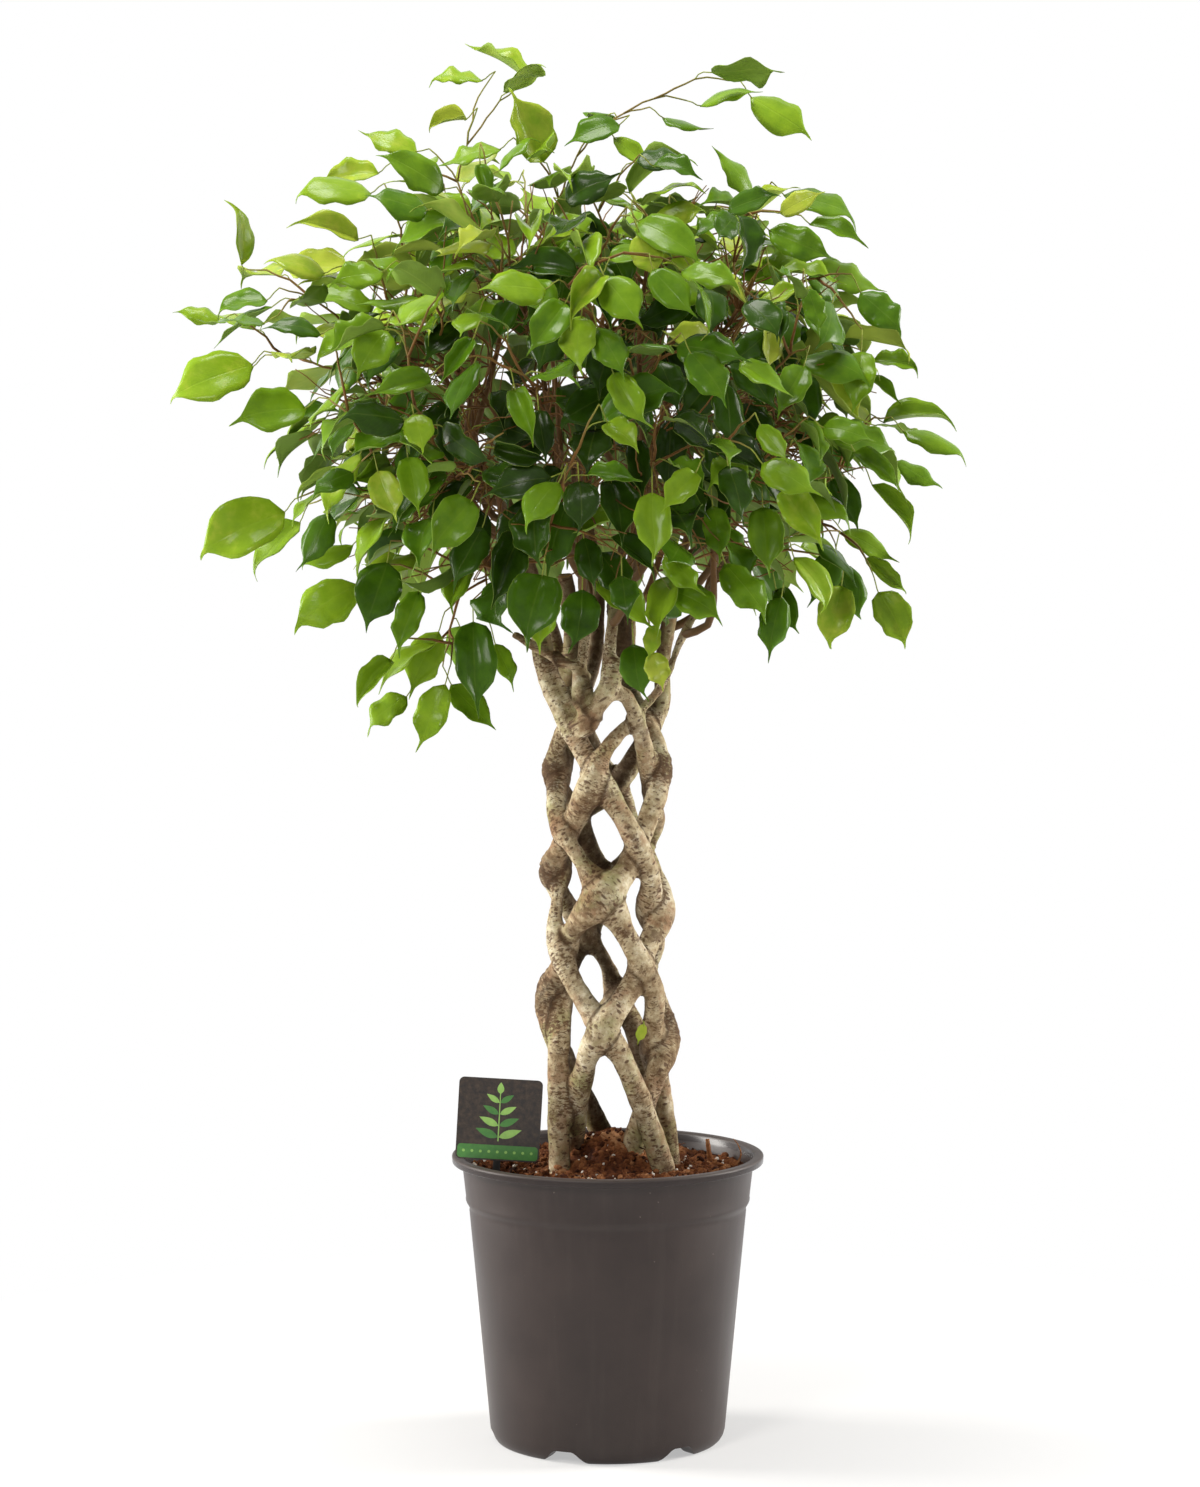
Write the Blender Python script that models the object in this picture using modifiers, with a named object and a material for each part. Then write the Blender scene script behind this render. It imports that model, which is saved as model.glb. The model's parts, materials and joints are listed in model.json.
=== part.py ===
"""A weeping fig in its nursery pot: eight stems woven into a hollow lattice trunk, and leafy branches above.

Metres, +Z up. The origin is the middle of the pot's underside, where the pot rests on the floor.
Azimuths are in degrees, measured from the front (-Y) towards +X.
"""

import math
import random

import bmesh
import bpy
from mathutils import Matrix, Vector
from mathutils.bvhtree import BVHTree

# ---- driving dimensions -----------------------------------------------------------------------------------

GAP = 0.0003  # left between pieces that touch

POT_TOP = 0.222
RIM_RADIUS = 0.120
RIM_DEPTH = 0.006
RIM_INNER = 0.113
WALL = 0.0016
COLLAR_BOTTOM = 0.180
COLLAR_TOP = 0.1865
WALL_UNDER_RIM = 0.1122
COLLAR_RADIUS = 0.1090
WALL_UNDER_COLLAR = 0.1068
WALL_AT_BASE = 0.0912
BASE_CORNER = 0.014
INNER_CORNER = 0.008
FOOT_OUTER = 0.085
FOOT_INNER = 0.074
FLOOR_HEIGHT = 0.0105
PAD_RADIUS = 0.030
POT_STEPS = 32

NOTCHES = 6
FIRST_NOTCH = -22.0
NOTCH_BOTTOM, NOTCH_TOP, NOTCH_HEIGHT = 0.033, 0.012, 0.0095
DRAIN_RADIUS, DRAIN_RING = 0.005, 0.066

SOIL_AT_WALL = 0.2095
SOIL_MOUND = 0.231
MOUND_RADIUS = 0.058
ROOT_DEPTH = 0.055  # how deep the stems stand in it

CARD_CENTRE = (-0.0825, -0.046, 0.2555)
CARD_SIZE = (0.0635, 0.0007, 0.0625)
CARD_CORNER = 0.004
CARD_LEAN = (-2.0, 3.3)  # degrees: back, and clockwise from the front
STAKE_SIZE = (0.0056, 0.0012, 0.095)
STAKE_HEAD = (0.026, 0.010)  # the plate behind the card
STAKE_POINT = (0.0016, 0.012)
STAKE_TOP = 0.018  # above the card's middle

# The lattice: a stem turns once in PITCH, and crossing stems swing in and out of the ring by WEAVE.
STEMS_EACH_WAY = 4
PITCH = 0.402
FIRST_CROSSING = 0.3185
LATTICE_FOOT, LATTICE_TOP = 0.292, 0.540
RING_FOOT, RING_TOP = 0.0402, 0.0362
WEAVE = 0.0055
STEM_FOOT, STEM_WAIST, STEM_TIP = 0.0095, 0.0088, 0.0036
# How the real crossings stand off the even lattice: a crossing's azimuth and level, how many degrees it is
# turned, and how far it is raised and pushed outwards.
PULLS = (
    (20, 0.2920, 2, -0.002, 0.0),
    (204, 0.2920, -16, 0.014, 0.0),
    (246, 0.2920, 14, 0.021, 0.0),
    (294, 0.2920, 0, 0.020, 0.0),
    (336, 0.2920, 0, 0.000, 0.0),
    (0, 0.3185, -12, 0.004, 0.0),
    (90, 0.3185, -4, -0.016, 0.0),
    (180, 0.3185, -12, 0.014, 0.0),
    (270, 0.3185, -12, 0.027, 0.0),
    (45, 0.3688, -2, -0.002, 0.0),
    (135, 0.3688, -5, 0.004, 0.0),
    (225, 0.3688, -18, 0.008, 0.0),
    (315, 0.3688, -18, 0.016, 0.0),
    (0, 0.4190, -5, 0.008, 0.0),
    (90, 0.4190, -5, -0.007, -0.002),
    (180, 0.4190, 2, 0.006, 0.0),
    (270, 0.4190, -8, 0.021, 0.0),
    (45, 0.4693, -8, -0.019, 0.0),
    (135, 0.4693, -2, -0.006, 0.0),
    (225, 0.4693, -4, 0.006, 0.0),
    (315, 0.4693, -16, 0.011, 0.0),
    (22, 0.4945, -5, -0.008, 0.0),
    (290, 0.4970, -14, 0.000, 0.004),
    (338, 0.4945, -3, 0.000, 0.0),
    (0, 0.5195, -22, -0.003, 0.0),
    (90, 0.5195, -15, -0.002, 0.002),
    (180, 0.5195, -11, -0.014, 0.0),
    (270, 0.5195, -12, -0.004, 0.0),
    (72, 0.5450, -26, -0.002, 0.0),
    (162, 0.5450, -22, -0.020, 0.0),
    (198, 0.5450, 10, -0.010, 0.0),
)
PULL_REACH = 0.022

# The crown is a dome that bulges outwards and droops at the lower left.
CROWN_CENTRE = Vector((-0.018, 0.0, 0.800))
CROWN_RADII = Vector((0.262, 0.250, 0.205))
LIMBS = 34
LEADER_FOOT = 0.585  # limbs grow from the stems above this height
LIMB_REACH = 0.60
LIMB_BASE, LIMB_TIP = 0.0034, 0.0017
TWIG_RADIUS = 0.0011
FILL_SHOOTS = 84
FILL_APART = 0.078
LEAF_LENGTH = (0.050, 0.070)
LEAF_WIDTH = 0.50  # of its length
LEAF_THICKNESS = 0.0017
LEAF_DROOP = 0.16
CLEARANCE = 0.0007
SEED = 7

# Each woven stem: which way it winds, its azimuth at FIRST_CROSSING, where its foot stands, how thick its
# leader is next to the woven part, and the points that the leader climbs through above the lattice.
STEMS = (
    (
        "a", 0, (-0.028, 0.004), 1.0,
        ((-0.0265, 0.0274, 0.570), (-0.037, 0.021, 0.603), (-0.055, 0.022, 0.660), (-0.078, 0.030, 0.730)),
    ),
    (
        "a", 90, (0.019, -0.008), 0.68,
        ((-0.027, -0.014, 0.568), (-0.021, -0.033, 0.592), (-0.0175, -0.036, 0.640), (-0.026, -0.036, 0.750)),
    ),
    (
        "a", 180, (0.029, 0.026), 0.50,
        ((0.0266, -0.027, 0.5665), (0.042, -0.0245, 0.587), (0.0615, -0.022, 0.6305), (0.100, -0.020, 0.695)),
    ),
    (
        "a", 270, (0.001, 0.033), 1.0,
        ((0.0235, 0.0170, 0.562), (0.0155, 0.029, 0.590), (0.018, 0.045, 0.655), (0.024, 0.060, 0.745)),
    ),
    (
        "b", 0, (0.043, -0.021), 0.9,
        ((0.0405, 0.0175, 0.566), (0.042, 0.014, 0.600), (0.052, 0.012, 0.660), (0.072, 0.016, 0.735)),
    ),
    (
        "b", 90, (0.048, 0.010), 1.0,
        ((-0.0265, 0.0355, 0.570), (-0.022, 0.041, 0.603), (-0.020, 0.047, 0.665), (-0.028, 0.062, 0.750)),
    ),
    (
        "b", 180, (-0.036, 0.034), 1.28,
        ((-0.036, -0.0225, 0.571), (-0.048, -0.019, 0.601), (-0.054, -0.017, 0.645), (-0.076, -0.020, 0.720)),
    ),
    (
        "b", 270, (-0.037, -0.027), 0.82,
        ((0.0230, -0.0335, 0.556), (0.0135, -0.041, 0.577), (0.0000, -0.043, 0.596), (0.018, -0.040, 0.740)),
    ),
)

# The shoots that give the crown its outline and its front, each ending in one leaf: where the leaf's stalk
# ends, the way the leaf points seen from the front (degrees from +X towards +Z), its length, how squarely
# it faces the front, and its shade from old dark growth (0) to new yellow growth (1).
SHOOTS = (
    # top
    (-0.063, 0.000, 1.046, 146, 0.054, 0.4, 0.85),
    (-0.095, 0.012, 1.042, 185, 0.045, 0.3, 0.80),
    (-0.049, -0.060, 0.976, 118, 0.062, 0.9, 0.90),
    (-0.106, -0.020, 1.010, 202, 0.034, 0.4, 1.00),
    (-0.079, -0.076, 0.983, 195, 0.050, 0.4, 0.70),
    (-0.144, -0.010, 0.986, 160, 0.048, 0.6, 0.80),
    (-0.119, -0.120, 0.950, 156, 0.062, 0.8, 0.30),
    (-0.174, 0.010, 0.972, 192, 0.050, 0.5, 0.85),
    (-0.183, -0.100, 0.915, 165, 0.056, 0.8, 0.90),
    (0.069, 0.000, 1.022, 14, 0.050, 0.3, 0.70),
    (0.108, 0.004, 1.029, -37, 0.058, 0.4, 0.75),
    (0.009, -0.050, 1.003, 200, 0.046, 0.6, 0.45),
    (0.106, -0.100, 0.948, 130, 0.048, 0.5, 0.60),
    (-0.031, -0.150, 0.940, 23, 0.048, 0.8, 0.10),
    # left
    (-0.278, 0.000, 0.902, 103, 0.054, 0.4, 0.70),
    (-0.207, -0.110, 0.890, 173, 0.050, 0.6, 0.90),
    (-0.256, -0.030, 0.874, 200, 0.046, 0.5, 0.50),
    (-0.294, 0.010, 0.861, 172, 0.040, 0.5, 0.80),
    (-0.270, 0.000, 0.827, 204, 0.078, 0.9, 0.85),
    (-0.219, -0.140, 0.791, 192, 0.060, 0.6, 0.70),
    (-0.246, 0.000, 0.715, 210, 0.085, 0.8, 0.85),
    (-0.237, 0.034, 0.707, 231, 0.062, 0.5, 0.80),
    (-0.187, -0.070, 0.662, 218, 0.066, 0.8, 0.80),
    (-0.161, -0.134, 0.680, 255, 0.062, 0.9, 0.15),
    (-0.161, -0.080, 0.606, 233, 0.050, 0.8, 0.75),
    (-0.151, -0.050, 0.577, 220, 0.044, 0.5, 0.80),
    (-0.121, -0.080, 0.588, 245, 0.056, 0.6, 0.60),
    (-0.099, -0.120, 0.636, 272, 0.074, 0.9, 0.10),
    (-0.119, -0.030, 0.585, 309, 0.052, 0.7, 0.45),
    # right
    (0.133, 0.000, 0.955, -23, 0.066, 0.4, 0.50),
    (0.116, -0.135, 0.920, -24, 0.056, 0.8, 0.50),
    (0.156, 0.000, 0.903, -24, 0.060, 0.6, 0.60),
    (0.185, -0.100, 0.877, -48, 0.050, 0.8, 0.35),
    (0.184, -0.130, 0.833, -95, 0.054, 0.8, 0.60),
    (0.201, 0.000, 0.829, -17, 0.042, 0.5, 0.60),
    (0.210, 0.010, 0.783, -3, 0.060, 0.4, 0.65),
    (0.222, -0.030, 0.776, -28, 0.060, 0.4, 0.60),
    (0.179, -0.135, 0.760, -44, 0.050, 0.7, 0.50),
    (0.201, 0.000, 0.736, -55, 0.058, 0.6, 0.70),
    (0.180, 0.020, 0.700, -26, 0.050, 0.5, 0.60),
    (0.196, 0.000, 0.680, -44, 0.046, 0.7, 0.70),
    (0.204, -0.030, 0.655, -63, 0.052, 0.8, 0.75),
    (0.174, -0.070, 0.661, -103, 0.056, 0.9, 0.80),
    (0.130, -0.060, 0.653, -104, 0.052, 0.9, 0.20),
    # front
    (-0.126, -0.205, 0.812, 200, 0.052, 0.8, 0.65),
    (-0.044, -0.205, 0.874, 185, 0.056, 0.8, 0.85),
    (-0.004, -0.215, 0.884, 231, 0.052, 0.9, 0.95),
    (0.021, -0.180, 0.923, -34, 0.066, 0.8, 0.65),
    (0.051, -0.205, 0.886, -24, 0.054, 0.5, 0.70),
    (-0.066, -0.225, 0.803, -69, 0.050, 1.0, 0.65),
    (0.003, -0.230, 0.815, -61, 0.052, 0.9, 0.80),
    (0.057, -0.215, 0.830, -51, 0.052, 0.7, 0.55),
    (0.140, -0.175, 0.821, 242, 0.050, 0.9, 0.50),
    (-0.097, -0.200, 0.725, 230, 0.056, 0.9, 0.65),
    (-0.143, -0.195, 0.756, -77, 0.048, 0.9, 0.75),
    (-0.035, -0.215, 0.738, 231, 0.054, 0.9, 0.70),
    (0.031, -0.210, 0.731, -89, 0.056, 1.0, 0.85),
    (0.126, -0.170, 0.733, -58, 0.058, 0.9, 0.85),
    (0.085, -0.195, 0.750, -74, 0.050, 0.8, 0.10),
    (-0.064, -0.140, 0.700, 249, 0.064, 0.9, 0.05),
    (-0.046, -0.110, 0.660, 264, 0.050, 1.0, 0.80),
    (0.113, -0.120, 0.720, -86, 0.056, 0.9, 0.60),
    (-0.009, -0.120, 0.665, -36, 0.058, 0.6, 0.65),
)

# Colours, linear.
POT_COLOUR = (0.058, 0.047, 0.042)
SOIL_COLOUR = (0.105, 0.042, 0.022)
CARD_COLOUR = (0.060, 0.035, 0.022)
STAKE_COLOUR = (0.012, 0.012, 0.012)
BARK_COLOUR = (0.330, 0.260, 0.170)
LEAF_DARK, LEAF_BRIGHT = (0.020, 0.085, 0.018), (0.180, 0.380, 0.030)


# ---- helpers ----------------------------------------------------------------------------------------------


def clear_scene():
    for obj in list(bpy.data.objects):
        bpy.data.objects.remove(obj, do_unlink=True)


def collection(name):
    made = bpy.data.collections.new(name)
    bpy.context.scene.collection.children.link(made)
    return made


def material(name, colour, roughness):
    made = bpy.data.materials.new(name)
    made.use_nodes = True
    shader = made.node_tree.nodes["Principled BSDF"]
    shader.inputs["Base Color"].default_value = (*colour, 1.0)
    shader.inputs["Roughness"].default_value = roughness
    shader.inputs["Metallic"].default_value = 0.0
    return made


def around(azimuth, radius, height):
    """The point at this azimuth, radius and height."""
    turn = math.radians(azimuth)
    return Vector((radius * math.sin(turn), -radius * math.cos(turn), height))


def mix(low, high, share):
    return low + (high - low) * share


def ramp(value, low, high):
    """0 below low, 1 above high, and straight between."""
    return min(1.0, max(0.0, (value - low) / (high - low)))


def mesh_object(name, mesh, group, look=None):
    obj = bpy.data.objects.new(name, mesh)
    group.objects.link(obj)
    if look:
        mesh.materials.clear()
        mesh.materials.append(look)
    return obj


def hide(obj):
    obj.hide_render = True
    obj.display_type = "WIRE"
    return obj


def from_bmesh(name, bm, group, look=None):
    mesh = bpy.data.meshes.new(name)
    bm.to_mesh(mesh)
    bm.free()
    return mesh_object(name, mesh, group, look)


def evaluated_mesh(obj):
    bpy.context.view_layer.update()
    graph = bpy.context.evaluated_depsgraph_get()
    return bpy.data.meshes.new_from_object(obj.evaluated_get(graph))


def apply_modifiers(obj):
    """Replaces the object's mesh with the one its modifiers make."""
    old, obj.data = obj.data, evaluated_mesh(obj)
    obj.modifiers.clear()
    bpy.data.meshes.remove(old)


def boolean(obj, operation, other):
    """Cuts or joins with one object, or with every object of a collection."""
    step = obj.modifiers.new(operation.lower(), "BOOLEAN")
    step.operation = operation
    step.solver = "EXACT"
    if isinstance(other, bpy.types.Collection):
        step.operand_type = "COLLECTION"
        step.collection = other
    else:
        step.object = other
    apply_modifiers(obj)


def smooth(points, spacing):
    """Evenly spaced points on a Catmull-Rom curve through the given ones."""
    ends = [2 * points[0] - points[1], *points, 2 * points[-1] - points[-2]]
    fine = []
    for a, b, c, d in zip(ends, ends[1:], ends[2:], ends[3:]):
        for step in range(16):
            t = step / 16
            fine.append(
                0.5
                * (
                    2 * b
                    + (c - a) * t
                    + (2 * a - 5 * b + 4 * c - d) * t**2
                    + (3 * b - a - 3 * c + d) * t**3
                )
            )
    fine.append(points[-1].copy())
    return spaced(fine, spacing)


def spaced(line, spacing):
    """The same line with its points an even distance apart."""
    lengths = [0.0]
    for a, b in zip(line, line[1:]):
        lengths.append(lengths[-1] + (b - a).length)
    count = max(2, round(lengths[-1] / spacing))
    made = []
    piece = 0
    for number in range(count + 1):
        goal = lengths[-1] * number / count
        while piece < len(line) - 2 and lengths[piece + 1] < goal:
            piece += 1
        share = ramp(goal, lengths[piece], lengths[piece + 1])
        made.append(line[piece].lerp(line[piece + 1], share))
    return made


def rod(name, points, radii, group, look=None, sides=8):
    """A closed tube along the points, as a mesh."""
    curve = bpy.data.curves.new(name, "CURVE")
    curve.dimensions = "3D"
    curve.bevel_depth = 1.0
    curve.bevel_resolution = (sides - 4) // 2
    curve.use_fill_caps = True
    spline = curve.splines.new("POLY")
    spline.points.add(len(points) - 1)
    for point, place, radius in zip(spline.points, points, radii):
        point.co = (*place, 1.0)
        point.radius = radius
    guide = bpy.data.objects.new(name, curve)
    group.objects.link(guide)
    mesh = evaluated_mesh(guide)
    bpy.data.objects.remove(guide)
    bpy.data.curves.remove(curve)
    bm = bmesh.new()
    bm.from_mesh(mesh)
    bmesh.ops.remove_doubles(bm, verts=bm.verts, dist=1e-6)
    bmesh.ops.recalc_face_normals(bm, faces=bm.faces)
    bm.to_mesh(mesh)
    bm.free()
    return mesh_object(name, mesh, group, look)


# ---- pot, soil and label ----------------------------------------------------------------------------------


def turned(name, profile, group, look):
    """A solid of revolution. The profile is (radius, height) pairs, its outer side running downwards."""
    bm = bmesh.new()
    verts = [bm.verts.new((radius, 0.0, height)) for radius, height in profile]
    for a, b in zip(verts, verts[1:]):
        bm.edges.new((a, b))
    obj = from_bmesh(name, bm, group, look)
    screw = obj.modifiers.new("turn", "SCREW")
    screw.steps = screw.render_steps = POT_STEPS
    screw.use_merge_vertices = True
    screw.merge_threshold = 0.00005
    screw.use_smooth_shade = True
    apply_modifiers(obj)
    return obj


def pot(parts, tools):
    look = material("pot plastic", POT_COLOUR, 0.5)
    lip = POT_TOP - RIM_DEPTH
    inner_floor = FLOOR_HEIGHT + WALL
    profile = (
        (0.0, inner_floor),
        (WALL_AT_BASE - INNER_CORNER, inner_floor),
        (WALL_AT_BASE - WALL, inner_floor + INNER_CORNER),
        (WALL_UNDER_COLLAR - WALL, COLLAR_BOTTOM),
        (COLLAR_RADIUS - WALL, COLLAR_TOP),
        (WALL_UNDER_RIM - WALL, lip),
        (RIM_INNER, POT_TOP),
        (RIM_RADIUS - 0.0020, POT_TOP),
        (RIM_RADIUS, POT_TOP - 0.0020),
        (RIM_RADIUS - 0.0010, lip),
        (WALL_UNDER_RIM, lip),
        (COLLAR_RADIUS, COLLAR_TOP),
        (WALL_UNDER_COLLAR, COLLAR_BOTTOM),
        (WALL_AT_BASE, BASE_CORNER),
        (WALL_AT_BASE - 0.0030, 0.0026),
        (FOOT_OUTER, 0.0),
        (FOOT_INNER, 0.0),
        (FOOT_INNER - 0.002, FLOOR_HEIGHT),
        (PAD_RADIUS + 0.003, FLOOR_HEIGHT),
        (PAD_RADIUS, 0.0),
        (0.0, 0.0),
    )
    body = turned("pot", profile, parts, look)
    for number in range(NOTCHES):
        azimuth = FIRST_NOTCH + 360.0 * number / NOTCHES
        boolean(body, "DIFFERENCE", notch_cutter(azimuth, tools))
        boolean(body, "DIFFERENCE", drain_cutter(azimuth, tools))
    body.data.set_sharp_from_angle(angle=math.radians(40))
    return body


def notch_cutter(azimuth, tools):
    """A block across the foot ring, wider at the floor than at its top."""
    bm = bmesh.new()
    bmesh.ops.create_cube(bm, size=1.0)
    inner, outer = FOOT_INNER - 0.006, WALL_AT_BASE + 0.006
    for vert in bm.verts:
        top = vert.co.z > 0
        width = NOTCH_TOP if top else NOTCH_BOTTOM
        vert.co.x *= width
        vert.co.y = -(outer if vert.co.y < 0 else inner)
        vert.co.z = NOTCH_HEIGHT if top else -0.004
    bm.transform(Matrix.Rotation(math.radians(azimuth), 4, "Z"))
    return hide(from_bmesh("notch cutter", bm, tools))


def drain_cutter(azimuth, tools):
    bm = bmesh.new()
    bmesh.ops.create_cone(
        bm, cap_ends=True, segments=8, radius1=DRAIN_RADIUS, radius2=DRAIN_RADIUS, depth=0.02
    )
    bm.transform(Matrix.Translation(around(azimuth, DRAIN_RING, FLOOR_HEIGHT)))
    return hide(from_bmesh("drain cutter", bm, tools))


def soil_height(radius):
    """The soil's surface: level at the wall and heaped up inside the ring of stems."""
    heap = math.cos(0.5 * math.pi * min(1.0, radius / MOUND_RADIUS)) ** 2
    return SOIL_AT_WALL + (SOIL_MOUND - SOIL_AT_WALL) * heap


def soil(parts):
    look = material("soil", SOIL_COLOUR, 0.95)
    side = WALL + GAP
    bottom = FLOOR_HEIGHT + WALL + GAP
    slope = (WALL_UNDER_RIM - COLLAR_RADIUS) / (POT_TOP - RIM_DEPTH - COLLAR_TOP)
    edge = COLLAR_RADIUS - side + (SOIL_AT_WALL - COLLAR_TOP) * slope
    heap = [(MOUND_RADIUS * step / 4, soil_height(MOUND_RADIUS * step / 4)) for step in range(5)]
    profile = (
        *heap,
        (edge, SOIL_AT_WALL),
        (COLLAR_RADIUS - side, COLLAR_TOP),
        (WALL_UNDER_COLLAR - side, COLLAR_BOTTOM),
        (WALL_AT_BASE - side, bottom + INNER_CORNER),
        (WALL_AT_BASE - INNER_CORNER - GAP, bottom),
        (0.0, bottom),
    )
    return turned("potting_soil", profile, parts, look)


def label(parts, tools):
    """The card and, behind it, the stake that holds it. Returns the stake's pocket in the soil."""
    lean = Matrix.Rotation(math.radians(CARD_LEAN[0]), 4, "X")
    lean = Matrix.Rotation(math.radians(CARD_LEAN[1]), 4, "Y") @ lean
    place = Matrix.Translation(CARD_CENTRE) @ lean
    width, thickness, height = CARD_SIZE
    outline = bpy.data.curves.new("label_card", "CURVE")
    outline.dimensions = "2D"
    outline.fill_mode = "BOTH"
    outline.extrude = thickness / 2
    corners = []
    for side_x, side_z, start in ((1, 1, 0), (-1, 1, 90), (-1, -1, 180), (1, -1, 270)):
        centre = (side_x * (width / 2 - CARD_CORNER), side_z * (height / 2 - CARD_CORNER))
        for step in range(4):
            turn = math.radians(start + 30 * step)
            corners.append(
                (centre[0] + CARD_CORNER * math.cos(turn), centre[1] + CARD_CORNER * math.sin(turn))
            )
    spline = outline.splines.new("POLY")
    spline.points.add(len(corners) - 1)
    spline.use_cyclic_u = True
    for point, (x, z) in zip(spline.points, corners):
        point.co = (x, z, 0.0, 1.0)
    guide = bpy.data.objects.new("label_card", outline)
    parts.objects.link(guide)
    mesh = evaluated_mesh(guide)
    bpy.data.objects.remove(guide)
    bm = bmesh.new()
    bm.from_mesh(mesh)
    bmesh.ops.remove_doubles(bm, verts=bm.verts, dist=1e-6)
    bm.transform(place @ Matrix.Rotation(math.radians(90), 4, "X"))
    bmesh.ops.recalc_face_normals(bm, faces=bm.faces)
    from_bmesh("label_card", bm, parts, material("label card", CARD_COLOUR, 0.35))

    stake_block("label_stake", 0.0, place, parts, material("label stake", STAKE_COLOUR, 0.4))
    return hide(stake_block("stake pocket", GAP, place, tools))


def stake_block(name, grow, place, group, look=None):
    """A flat blade with a wider head behind the card and a point below, grown by a margin for its pocket."""
    width, thickness, length = STAKE_SIZE
    head, head_height = STAKE_HEAD
    back = CARD_SIZE[1] / 2 + GAP + thickness / 2
    point, point_height = STAKE_POINT
    tip = STAKE_TOP - length
    bm = bmesh.new()
    bmesh.ops.create_cube(bm, size=1.0)
    bmesh.ops.subdivide_edges(
        bm, edges=[edge for edge in bm.edges if abs(edge.verts[0].co.z - edge.verts[1].co.z) > 0.5], cuts=2
    )
    levels = sorted({round(vert.co.z, 3) for vert in bm.verts})
    heights = (tip - grow, tip + point_height, STAKE_TOP - head_height, STAKE_TOP + grow)
    widths = (point, width, head, head)
    for vert in bm.verts:
        level = levels.index(round(vert.co.z, 3))
        vert.co.x *= widths[level] + 2 * grow
        vert.co.y = back + vert.co.y * (thickness + 2 * grow)
        vert.co.z = heights[level]
    bm.transform(place)
    return from_bmesh(name, bm, group, look)


# ---- woven stems ------------------------------------------------------------------------------------------


def lattice_point(way, start, level):
    """Where a stem is when it has climbed to a level of the even lattice."""
    turn = 360.0 * (level - FIRST_CROSSING) / PITCH
    azimuth = start + turn if way == "a" else start - turn
    side = math.radians(azimuth)
    over = 1.0 if way == "a" else -1.0
    ring = mix(RING_FOOT, RING_TOP, ramp(level, LATTICE_FOOT, LATTICE_TOP))
    radius = ring + over * WEAVE * math.cos(4.0 * side)
    total = turned = raised = pushed = 0.0
    for place, height, turn, lift, push in PULLS:
        off = math.radians((azimuth - place + 180.0) % 360.0 - 180.0) * ring
        near = math.exp(-(off**2 + (level - height) ** 2) / (2.0 * PULL_REACH**2))
        total += near
        turned += near * turn
        raised += near * lift
        pushed += near * push
    return around(azimuth + turned / total, radius + pushed / total, level + raised / total)


def stem_path(way, start, foot, leader):
    foot = Vector((*foot, soil_height(math.hypot(*foot))))
    steps = 8
    levels = [mix(LATTICE_FOOT, LATTICE_TOP, step / steps) for step in range(steps + 1)]
    woven = [lattice_point(way, start, level) for level in levels]
    root = foot - (woven[0] - foot) * 0.25
    root.z = foot.z - ROOT_DEPTH
    return smooth([root, foot, *woven, *map(Vector, leader)], 0.028)


def stem_radius(height, vigour):
    """A stem thins slowly up the lattice, and its leader starts thicker or thinner and tapers to its tip."""
    woven = mix(STEM_FOOT, STEM_WAIST, ramp(height, LATTICE_FOOT, LATTICE_TOP))
    leader = mix(STEM_WAIST * vigour, STEM_TIP, ramp(height, LATTICE_TOP + 0.04, 0.72))
    return mix(woven, leader, ramp(height, LATTICE_TOP - 0.015, LATTICE_TOP + 0.02))


def stems(parts, tools):
    """The eight stems. The second four are cut where they meet the first, so that they seat in each other."""
    look = material("bark", BARK_COLOUR, 0.8)
    made = []
    for number, (way, start, foot, vigour, leader) in enumerate(STEMS, 1):
        path = stem_path(way, start, foot, leader)
        radii = [stem_radius(point.z, vigour) for point in path]
        stem = rod(f"stem_{number}", path, radii, parts, look)
        seat = hide(rod(f"seat {number}", path, [radius + GAP for radius in radii], tools))
        if way == "b":
            for other in made[:STEMS_EACH_WAY]:
                boolean(stem, "DIFFERENCE", other["seat"])
        made.append({"stem": stem, "seat": seat, "path": path, "radii": radii})
    return made


# ---- branches and leaves ----------------------------------------------------------------------------------


def dome_point(turn, rise, reach):
    """A point of the crown at this azimuth and elevation, at a share of the dome's radius."""
    flat = math.cos(rise)
    way = Vector((math.sin(turn) * flat, -math.cos(turn) * flat, math.sin(rise)))
    return CROWN_CENTRE + Vector(CROWN_RADII[axis] * way[axis] * reach for axis in range(3))


def spiral(count, low, high):
    """Evenly spread (azimuth, elevation) pairs between two elevations."""
    golden = math.pi * (3.0 - math.sqrt(5.0))
    bottom, top = math.sin(low), math.sin(high)
    for number in range(count):
        yield golden * number, math.asin(mix(bottom, top, (number + 0.5) / count))


def limb_goals():
    """The inner ends of the crown's sectors, one for each limb."""
    pairs = spiral(LIMBS, math.radians(-38), math.radians(80))
    return [dome_point(turn, rise, LIMB_REACH) for turn, rise in pairs]


def share_limbs(goals, leaders):
    """Gives each limb's goal to the leader it lies nearest to, at most five to one leader."""
    owned = {number: [] for number in range(len(leaders))}
    pairs = sorted(
        ((goal - leader[-1]).length, limb, number)
        for limb, goal in enumerate(goals)
        for number, leader in enumerate(leaders)
    )
    given = set()
    for _, limb, number in pairs:
        if limb not in given and len(owned[number]) < 5:
            owned[number].append(limb)
            given.add(limb)
    return owned


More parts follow.
